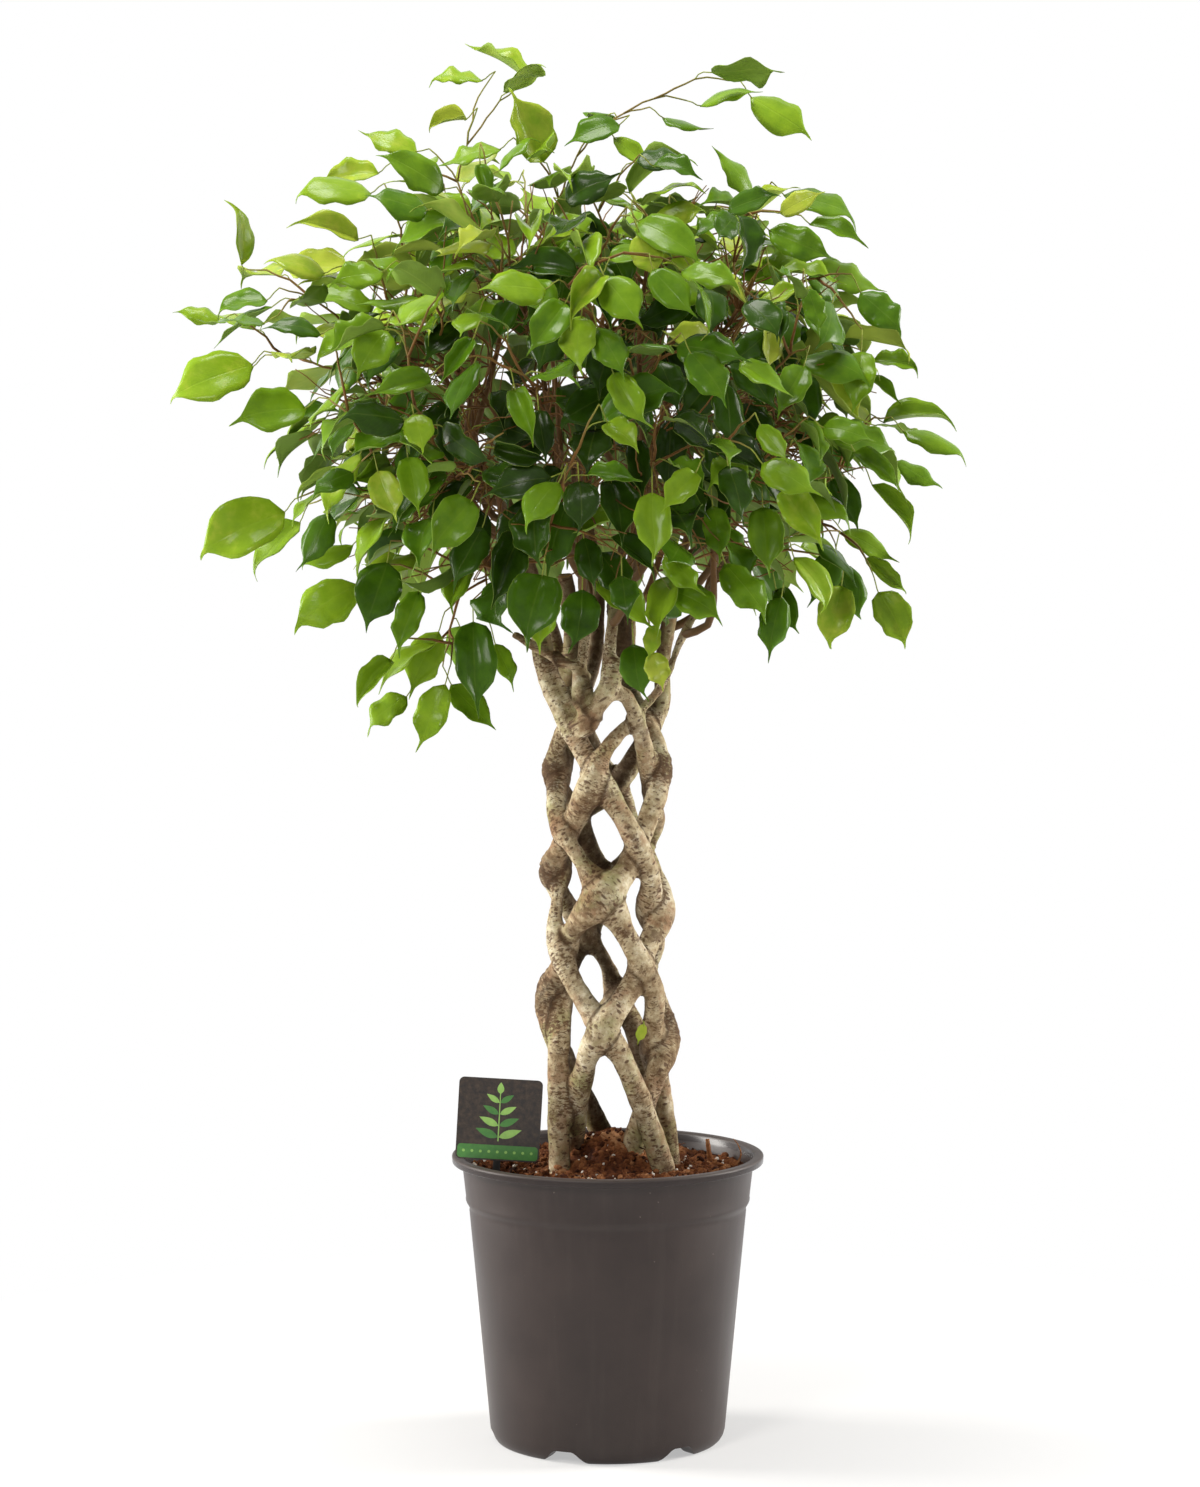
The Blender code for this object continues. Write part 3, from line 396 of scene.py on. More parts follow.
def piece(name, mesh, slot, nodes, *looks):
    """A visible piece that rides on the part and stands for some of its solids."""
    obj = plain_object(name, mesh, *looks)
    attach(obj, "root")
    if nodes:
        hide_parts(*nodes)
    return obj


def apply_modifiers(obj):
    bpy.context.view_layer.update()
    graph = bpy.context.evaluated_depsgraph_get()
    final = obj.evaluated_get(graph)
    made = bpy.data.meshes.new_from_object(final, preserve_all_data_layers=True, depsgraph=graph)
    old, obj.data = obj.data, made
    obj.modifiers.clear()
    bpy.data.meshes.remove(old)


def mesh_from(bm, name):
    """The finished mesh of a bmesh that isn't needed any more."""
    mesh = bpy.data.meshes.new(name)
    bm.to_mesh(mesh)
    bm.free()
    return mesh


def keep_edges(mesh, angle):
    """Smooth shading that keeps edges sharper than this angle, in degrees."""
    mesh.shade_smooth()
    mesh.set_sharp_from_angle(angle=math.radians(angle))


class Look:
    """A material and short ways to add nodes to it."""

    def __init__(self, name, roughness=0.5, specular=0.5):
        self.material = bpy.data.materials.new(name)
        self.material.use_nodes = True
        self.tree = self.material.node_tree
        self.shader = self.tree.nodes["Principled BSDF"]
        self.shader.inputs["Roughness"].default_value = roughness
        self.shader.inputs["Specular IOR Level"].default_value = specular
        self.place = self.add("ShaderNodeTexCoord", "Object")

    def add(self, kind, output, inputs=None, **settings):
        """A new node with these inputs (sockets or values) and settings; gives one of its outputs."""
        made = self.tree.nodes.new(kind)
        for key, value in settings.items():
            setattr(made, key, value)
        for key, value in (inputs or {}).items():
            self.join(value, made.inputs[key])
        return made.outputs[output]

    def join(self, source, target):
        """Links a socket to an input, or sets the input to a number or a colour."""
        if hasattr(source, "is_output"):
            self.tree.links.new(source, target)
        else:
            target.default_value = (*source, 1.0) if target.type == "RGBA" else source

    def attribute(self, name, output="Fac"):
        return self.add("ShaderNodeAttribute", output, attribute_name=name)

    def height(self):
        return self.add("ShaderNodeSeparateXYZ", "Z", {0: self.place})

    def stretched(self, vector, scale):
        return self.add("ShaderNodeMapping", "Vector", {"Vector": vector, "Scale": scale})

    def noise(self, vector, scale, detail=3.0, roughness=0.55):
        inputs = {"Vector": vector, "Scale": scale, "Detail": detail, "Roughness": roughness}
        return self.add("ShaderNodeTexNoise", "Fac", inputs)

    def cells(self, vector, scale):
        return self.add("ShaderNodeTexVoronoi", "Distance", {"Vector": vector, "Scale": scale})

    def maths(self, operation, a, b=0.0):
        return self.add("ShaderNodeMath", 0, {0: a, 1: b}, operation=operation)

    def times(self, a, b):
        return self.maths("MULTIPLY", a, b)

    def plus(self, a, b):
        return self.maths("ADD", a, b)

    def minus(self, a, b):
        return self.maths("SUBTRACT", a, b)

    def span(self, value, low, high, to_low=0.0, to_high=1.0):
        """Maps low..high to to_low..to_high and stops there."""
        inputs = {"Value": value, "From Min": low, "From Max": high, "To Min": to_low, "To Max": to_high}
        return self.add("ShaderNodeMapRange", "Result", inputs)

    def blend(self, share, a, b):
        """A mix of two colours: the node's sockets 6 and 7, which give its output 2."""
        return self.add("ShaderNodeMix", 2, {0: share, 6: a, 7: b}, data_type="RGBA")

    def stops(self, value, *pairs):
        """A colour ramp through (place, colour) pairs."""
        colour = self.add("ShaderNodeValToRGB", "Color", {"Fac": value})
        points = colour.node.color_ramp.elements
        while len(points) < len(pairs):
            points.new(0.5)
        for point, (place, shade) in zip(points, pairs):
            point.position = place
            point.color = (*shade, 1.0)
        return colour

    def colour(self, source):
        self.join(source, self.shader.inputs["Base Color"])

    def rough(self, source):
        self.join(source, self.shader.inputs["Roughness"])

    def bump(self, height, depth, strength=1.0):
        """Raises the surface by up to depth metres where height is 1."""
        inputs = {"Strength": strength, "Distance": depth, "Height": height}
        self.join(self.add("ShaderNodeBump", "Normal", inputs), self.shader.inputs["Normal"])


# ---- materials


def pot_look():
    """Recycled injection-moulded plastic: dark brown-grey, faintly mottled, rubbed and dusty in places."""
    look = Look("pot_plastic", specular=0.36)
    place, level = look.place, look.height()
    cloud = look.noise(place, 14.0, 4.0, 0.6)
    streak = look.noise(look.stretched(place, (60.0, 60.0, 2.5)), 1.0, 3.0)
    speck = look.span(look.noise(place, 330.0, 2.0), 0.76, 0.80)
    lip = look.span(level, POT_TOP - RIM_DEPTH - 0.0015, POT_TOP - RIM_DEPTH + 0.0005)
    edge = look.span(level, POT_TOP - 0.0022, POT_TOP - 0.0006, 0.0, 0.8)
    base = look.blend(look.span(cloud, 0.3, 0.7), (0.024, 0.0155, 0.0135), (0.036, 0.0240, 0.0208))
    for share, colour in (
        (look.span(streak, 0.52, 0.80, 0.0, 0.30), (0.062, 0.046, 0.041)),
        (look.times(speck, 0.5), (0.25, 0.19, 0.17)),
        (edge, (0.110, 0.084, 0.072)),
        (look.times(lip, 0.6), (0.016, 0.010, 0.009)),
    ):
        base = look.blend(share, base, colour)
    look.colour(base)
    rough = look.minus(look.span(cloud, 0.3, 0.7, 0.34, 0.46), look.times(lip, 0.16))
    look.rough(look.plus(rough, look.times(edge, 0.45)))
    look.bump(look.plus(look.noise(place, 900.0, 2.0), look.times(streak, 0.6)), 0.00010, 0.5)
    return look.material


def soil_look():
    """Coir and peat: red-brown crumbs and fibres over hollows darkened with painted shade."""
    look = Look("soil", 0.92, 0.15)
    crumb = look.noise(look.place, 300.0, 5.0, 0.75)
    value = look.plus(look.times(crumb, 0.75), look.times(look.attribute("tone"), 0.50))
    colours = look.stops(
        value,
        (0.34, (0.009, 0.0035, 0.002)),
        (0.52, (0.048, 0.014, 0.006)),
        (0.66, (0.118, 0.037, 0.013)),
        (0.80, (0.230, 0.086, 0.031)),
        (0.94, (0.390, 0.195, 0.092)),
    )
    look.colour(colours)
    look.bump(look.noise(look.place, 800.0, 5.0, 0.75), 0.0012, 0.9)
    return look.material


def perlite_look():
    look = Look("perlite", 0.8)
    look.colour(look.blend(look.noise(look.place, 700.0), (0.52, 0.45, 0.36), (0.86, 0.83, 0.77)))
    look.bump(look.noise(look.place, 1500.0, 3.0), 0.0004, 0.7)
    return look.material


def bark_look():
    """Pale grey-beige fig bark with green algae, brown flecks round the stem, and dark wrinkled joints.

    Painted shade darkens hollows, creases, the side towards the trunk's middle and the leaders under the
    crown.
    """
    look = Look("bark", 0.78, 0.15)
    place, level = look.place, look.height()
    bark = look.attribute("bark", "Vector")
    joint, knot, relief = (look.attribute(name) for name in ("joint", "knot", "relief"))
    fine = look.noise(place, 210.0, 5.0, 0.7)
    tone = look.plus(look.times(look.noise(place, 30.0, 4.0, 0.6), 0.55), look.times(fine, 0.45))
    base = look.stops(
        look.plus(tone, look.times(relief, 0.05)),
        (0.34, (0.120, 0.070, 0.036)),
        (0.43, (0.270, 0.190, 0.105)),
        (0.53, (0.480, 0.395, 0.250)),
        (0.66, (0.740, 0.680, 0.510)),
    )
    damp = look.span(level, 0.50, 0.57, 0.0, 0.06)
    algae = look.span(look.plus(look.noise(place, 24.0, 4.0, 0.6), damp), 0.52, 0.64, 0.0, 0.6)
    blush = look.span(look.noise(place, 41.0, 6.0, 0.75), 0.52, 0.60, 0.0, 0.55)
    crust = look.span(look.noise(place, 55.0, 8.0, 0.80), 0.53, 0.57, 0.0, 0.85)
    old = look.times(look.span(joint, 0.2, 0.9), look.span(fine, 0.40, 0.60))
    region = look.noise(place, 36.0, 3.0, 0.55)
    marks = look.noise(look.stretched(bark, (0.40, 0.40, 1.0)), 640.0, 3.0, 0.6)
    marks = look.plus(marks, look.times(look.minus(region, 0.5), 0.55))
    marks = look.plus(marks, look.times(joint, 0.05))
    fleck = look.span(look.plus(marks, look.times(knot, 0.10)), 0.585, 0.640)
    dot = look.span(look.cells(look.stretched(bark, (0.45, 0.45, 1.0)), 230.0), 0.26, 0.18)
    grime = look.times(look.span(fine, 0.36, 0.60), knot)
    for share, colour in (
        (algae, (0.250, 0.255, 0.090)),
        (blush, (0.310, 0.170, 0.095)),
        (look.times(crust, look.span(fine, 0.35, 0.55)), (0.130, 0.076, 0.040)),
        (look.times(old, 0.4), (0.200, 0.120, 0.065)),
        (look.times(fleck, 0.85), (0.110, 0.058, 0.030)),
        (look.times(dot, 0.85), (0.090, 0.045, 0.028)),
        (look.times(grime, 0.85), (0.075, 0.044, 0.024)),
        # painted shade in hollows, in creases between two stems and on the side towards the trunk's middle;
        # the leaders under the crown are browner young bark and also painted shade
        (look.span(relief, -0.1, -0.8, 0.0, 0.75), (0.070, 0.038, 0.019)),
        (look.times(look.attribute("crease"), look.span(fine, 0.30, 0.62, 1.0, 0.45)), (0.085, 0.046, 0.022)),
        (look.times(look.attribute("inside"), look.span(fine, 0.30, 0.62, 1.0, 0.75)), (0.058, 0.034, 0.017)),
        (look.span(level, 0.590, 0.690, 0.0, 0.92), (0.088, 0.047, 0.019)),
    ):
        base = look.blend(share, base, colour)
    look.colour(base)
    rings = look.noise(look.stretched(bark, (0.14, 0.14, 1.0)), 420.0, 4.0, 0.65)
    height = look.plus(look.times(rings, 0.7), look.noise(place, 520.0, 5.0, 0.7))
    look.bump(look.plus(height, look.times(fleck, 0.35)), 0.0009, 0.9)
    return look.material


def twig_look():
    """Limbs are bark-coloured, thin twigs red-brown, and the newest growth and leaf stalks yellow-green."""
    look = Look("twigs", 0.6, 0.15)
    tone = look.stops(
        look.attribute("young"),
        (0.00, (0.100, 0.060, 0.026)),
        (0.30, (0.120, 0.058, 0.020)),
        (0.55, (0.165, 0.078, 0.020)),
        (0.78, (0.190, 0.140, 0.034)),
        (1.00, (0.240, 0.310, 0.042)),
    )
    spots = look.span(look.noise(look.place, 600.0, 3.0, 0.6), 0.52, 0.72, 0.0, 0.55)
    look.colour(look.blend(spots, tone, (0.110, 0.042, 0.015)))
    look.bump(look.noise(look.place, 900.0, 3.0), 0.0003, 0.7)
    return look.material


# From old dark growth to new yellow growth; the shades given to the leaves also hold painted light and shade.
LEAF_SHADES = (
    (0.00, (0.017, 0.040, 0.003)),
    (0.22, (0.030, 0.077, 0.004)),
    (0.45, (0.061, 0.144, 0.005)),
    (0.68, (0.130, 0.244, 0.009)),
    (0.86, (0.200, 0.325, 0.015)),
    (1.00, (0.335, 0.402, 0.042)),
)
SIDE_VEINS = 15.0


def leaf_look(name, upper):
    """A fig leaf's upper face, deep and glossy with a pale midrib, or its paler, duller underside."""
    look = Look(name, specular=0.11 if upper else 0.06)
    away = look.maths("ABSOLUTE", look.attribute("across"))
    cloud = look.noise(look.place, 95.0, 3.0, 0.6)
    shade = look.plus(look.attribute("shade"), look.span(cloud, 0.2, 0.8, -0.10, 0.10))
    base = look.stops(shade, *LEAF_SHADES)
    if not upper:
        base = look.blend(0.40, base, (0.24, 0.32, 0.09))
    slant = look.minus(look.times(look.attribute("along"), SIDE_VEINS), look.times(away, 4.6))
    vein = look.span(look.maths("SINE", look.times(slant, math.tau)), 0.72, 1.0)
    vein = look.times(vein, look.span(away, 0.95, 0.55))
    midrib = look.span(away, 0.060, 0.015)
    lines = look.maths("MAXIMUM", midrib, look.times(vein, 0.15 if upper else 0.3))
    pale = look.blend(0.10 if upper else 0.35, base, (0.34, 0.44, 0.08))
    base = look.blend(look.times(lines, 0.65), base, pale)
    look.colour(look.blend(look.span(away, 0.95, 1.0, 0.0, 0.20), base, (0.26, 0.36, 0.04)))
    look.rough(look.span(cloud, 0.3, 0.7, *((0.16, 0.26) if upper else (0.42, 0.52))))
    look.bump(look.minus(look.times(cloud, 0.7), look.times(lines, 0.4)), 0.0005, 0.5)
    return look.material


def card_look():
    """Printed dark brown card under a thin gloss film."""
    look = Look("label_card", 0.3)
    ground = look.stops(
        look.noise(look.place, 240.0, 5.0, 0.7),
        (0.36, (0.008, 0.004, 0.003)),
        (0.52, (0.028, 0.016, 0.009)),
        (0.70, (0.062, 0.038, 0.022)),
    )
    look.colour(ground)
    look.bump(look.noise(look.place, 60.0, 2.0), 0.0002, 0.3)
    return look.material


def print_look(name, low, high):
    """One ink of the card's print, uneven between two close colours."""
    look = Look(name, 0.3)
    look.colour(look.blend(look.noise(look.place, 300.0), low, high))
    return look.material


def stake_look():
    look = Look("label_stake", 0.35)
    look.colour(look.blend(look.noise(look.place, 130.0), (0.010, 0.010, 0.010), (0.022, 0.021, 0.020)))
    look.bump(look.noise(look.place, 800.0, 2.0), 0.0001, 0.4)
    return look.material


# ---- pot

POT_STEPS, NOTCH_STEPS, DRAIN_STEPS = 180, 24, 24
POT_EDGES, STAKE_EDGES = 35, 40  # degrees from which an edge stays sharp


def arc(centre, radius, start, end, steps):
    """Points of a circular arc in the profile plane, between two angles in degrees."""
    made = []
    for step in range(steps + 1):
        turn = math.radians(mix(start, end, step / steps))
        made.append((centre[0] + radius * math.cos(turn), centre[1] + radius * math.sin(turn)))
    return made


def turned_mesh(name, profile):
    """A solid of revolution. The profile's outer side runs downwards."""
    bm = bmesh.new()
    verts = [bm.verts.new((radius, 0.0, height)) for radius, height in profile]
    edges = [bm.edges.new(pair) for pair in zip(verts, verts[1:])]
    around_z = {"cent": (0, 0, 0), "axis": (0, 0, 1), "angle": math.tau, "steps": POT_STEPS}
    bmesh.ops.spin(bm, geom=[*verts, *edges], use_merge=True, **around_z)
    bmesh.ops.remove_doubles(bm, verts=bm.verts, dist=1e-6)
    bmesh.ops.recalc_face_normals(bm, faces=bm.faces)
    return mesh_from(bm, name)


def pot_profile():
    """From the floor inside, up the inner wall, over the rim, down the outer wall and under the foot."""
    lip = POT_TOP - RIM_DEPTH
    inner_floor = FLOOR_HEIGHT + WALL
    outside = (
        *arc((RIM_RADIUS - 0.0016, POT_TOP - 0.0016), 0.0016, 90, 0, 5),
        *arc((RIM_RADIUS - 0.0010, lip + 0.0008), 0.0008, 0, -90, 3),
        (WALL_UNDER_RIM + 0.0012, lip),
        *arc((WALL_UNDER_RIM + 0.0010, lip - 0.0010), 0.0010, 90, 180, 3),
        (mix(WALL_UNDER_RIM, COLLAR_RADIUS, 0.5), mix(lip, COLLAR_TOP, 0.5)),
        (COLLAR_RADIUS + 0.0003, COLLAR_TOP + 0.0030),
        (COLLAR_RADIUS + 0.0005, COLLAR_TOP + 0.0012),
        (COLLAR_RADIUS + 0.0003, COLLAR_TOP),
        (COLLAR_RADIUS - 0.0002, COLLAR_TOP - 0.0012),
        (mix(COLLAR_RADIUS, WALL_UNDER_COLLAR, 0.55), mix(COLLAR_TOP, COLLAR_BOTTOM, 0.45)),
        (WALL_UNDER_COLLAR + 0.0002, COLLAR_BOTTOM + 0.0022),
        (WALL_UNDER_COLLAR - 0.0003, COLLAR_BOTTOM + 0.0005),
        (WALL_UNDER_COLLAR - 0.0001, COLLAR_BOTTOM - 0.0015),
        *[
            (mix(WALL_UNDER_COLLAR, WALL_AT_BASE, t), mix(COLLAR_BOTTOM, BASE_CORNER, t))
            for t in (0.25, 0.5, 0.75)
        ],
        (WALL_AT_BASE, BASE_CORNER),
        (WALL_AT_BASE - 0.0005, 0.0090),
        (WALL_AT_BASE - 0.0016, 0.0050),
        (WALL_AT_BASE - 0.0034, 0.0020),
        (WALL_AT_BASE - 0.0052, 0.0004),
        (FOOT_OUTER, 0.0),
    )
    inside = (
        (0.0, inner_floor),
        (WALL_AT_BASE - 0.008, inner_floor),
        (WALL_AT_BASE - WALL, inner_floor + 0.008),
        (WALL_UNDER_COLLAR - WALL, COLLAR_BOTTOM),
        (COLLAR_RADIUS - WALL, COLLAR_TOP),
        (WALL_UNDER_RIM - WALL, lip),
        (RIM_INNER - 0.0008, POT_TOP - 0.0012),
        (RIM_INNER, POT_TOP - 0.0003),
        (RIM_INNER + 0.0006, POT_TOP),
    )
    under = (
        (FOOT_INNER + 0.001, 0.0),
        (FOOT_INNER, 0.0008),
        (FOOT_INNER - 0.002, FLOOR_HEIGHT),
        (PAD_RADIUS + 0.003, FLOOR_HEIGHT),
        (PAD_RADIUS + 0.0006, 0.0008),
        (PAD_RADIUS, 0.0),
        (0.0, 0.0),
    )
    return (*inside, *outside, *under)


def notch_mesh():
    """A low arch through the foot ring whose sides run out in soft curves, as an extruded outline."""
    half = NOTCH_BOTTOM / 2 + 0.003
    outline = [(-half, -0.004)]
    for x in taper(-half, half, NOTCH_STEPS + 1):
        outline.append((x, NOTCH_HEIGHT * ease(abs(x), half, NOTCH_TOP / 2) - 0.0002))
    outline.append((half, -0.004))
    bm = bmesh.new()
    near = [bm.verts.new((x, -(WALL_AT_BASE + 0.006), z)) for x, z in outline]
    face = bm.faces.new(near)
    bm.normal_update()
    made = bmesh.ops.extrude_face_region(bm, geom=[face])
    moved = [item for item in made["geom"] if isinstance(item, bmesh.types.BMVert)]
    bmesh.ops.translate(bm, verts=moved, vec=(0.0, WALL_AT_BASE - FOOT_INNER + 0.012, 0.0))
    bmesh.ops.recalc_face_normals(bm, faces=bm.faces)
    return mesh_from(bm, "notch")


def drain_mesh():
    bm = bmesh.new()
    size = {"segments": DRAIN_STEPS, "radius1": DRAIN_RADIUS, "radius2": DRAIN_RADIUS, "depth": 0.02}
    place = Matrix.Translation((0.0, -DRAIN_RING, FLOOR_HEIGHT))
    bmesh.ops.create_cone(bm, cap_ends=True, matrix=place, **size)
    return mesh_from(bm, "drain")


def put_in_order(mesh):
    """Sorts points and faces, because a boolean gives them in another order each run."""
    places = [tuple(vert.co) for vert in mesh.vertices]
    order = sorted(range(len(places)), key=places.__getitem__)
    rank = {old: new for new, old in enumerate(order)}
    faces = []
    for face in mesh.polygons:
        corners = [rank[corner] for corner in face.vertices]
        start = corners.index(min(corners))
        faces.append(corners[start:] + corners[:start])
    mesh.clear_geometry()
    mesh.from_pydata([places[number] for number in order], [], sorted(faces))


def make_pot():
    shell = turned_mesh("nursery_pot", pot_profile())
    obj = piece("nursery_pot", shell, "pot_plastic", ["pot"], pot_look())
    tools = bpy.data.collections.new("pot cutters")
    bpy.context.scene.collection.children.link(tools)
    for number in range(NOTCHES):
        for mesh in (notch_mesh(), drain_mesh()):
            cutter = bpy.data.objects.new("cutter", mesh)
            cutter.rotation_euler.z = math.radians(FIRST_NOTCH + 360.0 * number / NOTCHES)
            tools.objects.link(cutter)
    cut = obj.modifiers.new("cut", "BOOLEAN")
    cut.operation = "DIFFERENCE"
    cut.solver = "EXACT"
    cut.operand_type = "COLLECTION"
    cut.collection = tools
    apply_modifiers(obj)
    for cutter in list(tools.objects):
        bpy.data.objects.remove(cutter, do_unlink=True)
    put_in_order(obj.data)
    keep_edges(obj.data, POT_EDGES)


# ---- soil

SOIL_SEED = 11
SOIL_TURNS, SOIL_RINGS = 220, 74
CRUMBS, FIBRES = 1500, 240
PERLITE, PERLITE_HEAP = 230, 11  # grains all over, and at one place near the front
FEET = [Vector(foot).to_3d() for _, _, foot, _, _ in STEMS]
HEAP_CENTRE = Vector((-0.002, 0.014, 0.0))


def soil_height(radius):
    """The soil's surface: level at the wall and heaped up inside the ring of stems."""
    heap = math.cos(0.5 * math.pi * min(1.0, radius / MOUND_RADIUS)) ** 2
    return SOIL_AT_WALL + (SOIL_MOUND - SOIL_AT_WALL) * heap


def soil_edge(height):
    """How far out the soil reaches at a height, just inside the pot's wall."""
    slope = (WALL_UNDER_RIM - COLLAR_RADIUS) / (POT_TOP - RIM_DEPTH - COLLAR_TOP)
    return COLLAR_RADIUS - WALL - 0.0004 + (height - COLLAR_TOP) * slope


def crumbly(x, y):
    """Height of the loose surface: heaps, clods and crumbs over the smooth ground, banked up at the stems."""
    radius = math.hypot(x, y)
    ground = soil_height(radius)
    place = Vector((x, y, 0.0))
    heaps = noise.noise(place * 30.0) * 0.0038
    clods = noise.noise(place * 95.0 + Vector((3.0, 1.0, 0.0)))
    crumbs = noise.noise(place * 260.0 + Vector((0.0, 7.0, 2.0)))
    rough = heaps + max(-0.35, clods) * 0.0052 + crumbs * 0.0020
    crown = 0.0075 * ease((place - HEAP_CENTRE).length, 0.034, 0.006)
    bank = 0.0030 * max(ease((place - foot).length, 0.021, 0.009) for foot in FEET)
    wall = ramp(soil_edge(ground) - radius, 0.0, 0.006)
    return ground + (rough + crown + bank) * (0.30 + 0.70 * wall)


def spot(chance, share):
    """A random place on the soil, at most this share of the way to the wall."""
    reach = soil_edge(SOIL_AT_WALL) * math.sqrt(chance.random()) * share
    turn = chance.uniform(0, math.tau)
    return reach * math.sin(turn), -reach * math.cos(turn)


def lump(sheaf, centre, size, chance, slot, tone, squash):
    """One irregular crumb: a ball pushed in and out by noise."""
    bm = bmesh.new()
    bmesh.ops.create_icosphere(bm, subdivisions=2, radius=1.0)
    turn = Matrix.Rotation(chance.uniform(0, math.tau), 3, "Z")
    turn = turn @ Matrix.Rotation(chance.uniform(0, 1.2), 3, "X")
    wide, deep = chance.uniform(0.7, 1.25), chance.uniform(0.7, 1.1)
    stretch = Vector((wide, deep, squash * chance.uniform(0.7, 1.1)))
    seed = Vector((chance.uniform(0, 90), chance.uniform(0, 90), 0.0))
    points = []
    for vert in bm.verts:
        swell = 1.0 + 0.38 * noise.noise(vert.co * 1.5 + seed) + 0.16 * noise.noise(vert.co * 4.0 + seed)
        points.append(turn @ (vert.co * swell * stretch) * size + centre)
    faces = [tuple(vert.index for vert in face.verts) for face in bm.faces]
    bm.free()
    sheaf.add(points, faces, slot, tone=tone)


def soil_body():
    """Points, faces and tones of the crumbly top and the plain body under it."""
    points, tones = [], []
    for ring in range(SOIL_RINGS + 1):
        reach = soil_edge(SOIL_AT_WALL) * (ring / SOIL_RINGS)
        for step in range(SOIL_TURNS):
            turn = math.tau * step / SOIL_TURNS
            x, y = reach * math.sin(turn), -reach * math.cos(turn)
            height = crumbly(x, y)
            points.append(Vector((x, y, height)))
            # painted shade: the ground's tone is darker where it lies below the smooth surface, lighter on
            # the heaps
            tones.append(0.5 + (height - soil_height(reach)) * 110.0)
    below = (
        (COLLAR_RADIUS - WALL - 0.0003, COLLAR_TOP),
        (WALL_UNDER_COLLAR - WALL - 0.0003, COLLAR_BOTTOM),
        (WALL_AT_BASE - WALL - 0.0003, FLOOR_HEIGHT + WALL + 0.0083),
        (WALL_AT_BASE - 0.0083, FLOOR_HEIGHT + WALL + 0.0003),
        (0.0, FLOOR_HEIGHT + WALL + 0.0003),
    )
    for radius, height in below:
        for step in range(SOIL_TURNS):
            points.append(around(360.0 * step / SOIL_TURNS, radius, height))
            tones.append(0.4)
    faces = []
    for ring in range(SOIL_RINGS + len(below)):
        for step in range(SOIL_TURNS):
            a, b = ring * SOIL_TURNS + step, ring * SOIL_TURNS + (step + 1) % SOIL_TURNS
            faces.append((a, a + SOIL_TURNS, b + SOIL_TURNS, b))
    return points, faces, tones


def make_soil():
    """The soil with loose clods, perlite, fibres and litter on it."""
    chance = random.Random(SOIL_SEED)
    sheaf = Sheaf("tone")
    points, faces, tones = soil_body()
    sheaf.add(points, faces, 0, tone=tones)
    for _ in range(CRUMBS):
        x, y = spot(chance, 0.972)
        size = chance.uniform(0.0008, 0.0019) + 0.0026 * chance.random() ** 6
        centre = Vector((x, y, crumbly(x, y) + size * chance.uniform(-0.1, 0.5)))
        lump(sheaf, centre, size, chance, 0, chance.uniform(0.1, 1.0), chance.uniform(0.4, 0.9))
    for _ in range(PERLITE):
        x, y = spot(chance, 0.972)
        size = chance.uniform(0.0005, 0.0012) + 0.0010 * chance.random() ** 4
        lump(sheaf, Vector((x, y, crumbly(x, y) + size * 0.3)), size, chance, 1, 0.0, 0.9)
    for _ in range(PERLITE_HEAP):
        x, y = chance.gauss(0.014, 0.004), chance.gauss(-0.094, 0.003)
        size = chance.uniform(0.0010, 0.0020)
        lump(sheaf, Vector((x, y, crumbly(x, y) + size * 0.5)), size, chance, 1, 0.0, 0.9)
    for _ in range(FIBRES):
        fibre(sheaf, chance)
    litter(sheaf)
    mesh = sheaf.mesh("potting_mix")
    bm = bmesh.new()
    bm.from_mesh(mesh)
    bmesh.ops.remove_doubles(bm, verts=bm.verts, dist=1e-7)
    bm.to_mesh(mesh)
    bm.free()
    piece("potting_mix", mesh, "soil", ["potting_soil"], soil_look(), perlite_look())


def fibre(sheaf, chance):
    """A curved coir fibre lying on the soil."""
    x, y = spot(chance, 0.9)
    heading = chance.uniform(0, math.tau)
    line = []
    for _ in range(7):
        line.append(Vector((x, y, crumbly(x, y) + chance.uniform(0.0008, 0.0032))))
        heading += chance.uniform(-0.6, 0.6)
        step = chance.uniform(0.0012, 0.0030)
        x, y = x + step * math.cos(heading), y + step * math.sin(heading)
        if math.hypot(x, y) > soil_edge(SOIL_AT_WALL) - 0.002:
            break
    if len(line) > 2:
        made = tube(line, [chance.uniform(0.00016, 0.00034)] * len(line), 5)
        sheaf.add(*made, 0, tone=chance.uniform(0.5, 1.0))


# Loose things on the soil: the points they follow, their radius at both ends, and their tone.
LITTER = (
    # dry stub
    (((0.081, 0.028, 0.205), (0.079, 0.027, 0.216), (0.0775, 0.027, 0.228)), 0.0024, 0.0016, 0.85),
    # bent dry blade
    (
        ((0.100, 0.010, 0.211), (0.103, 0.010, 0.219), (0.101, 0.012, 0.226), (0.097, 0.013, 0.231)),
        0.0009, 0.0003, 1.0,
    ),
    # thin roots
    (
        ((0.010, -0.010, 0.232), (0.022, -0.016, 0.230), (0.034, -0.020, 0.226), (0.046, -0.018, 0.222)),
        0.0006, 0.0004, 0.1,
    ),
    (((-0.060, -0.060, 0.212), (-0.048, -0.068, 0.2135), (-0.036, -0.070, 0.212)), 0.0006, 0.0003, 0.9),
)


def litter(sheaf):
    for points, thick, thin, tone in LITTER:
        line = smooth([Vector(point) for point in points], 0.002)
        line = [point + UP * (0.0004 * noise.noise(point * 900.0)) for point in line]
        girths = zip(taper(thick, thin, len(line)), line)
        radii = [radius * (1.0 + 0.3 * noise.noise(point * 500.0)) for radius, point in girths]
        sheaf.add(*tube(line, radii, 8), 0, tone=tone)


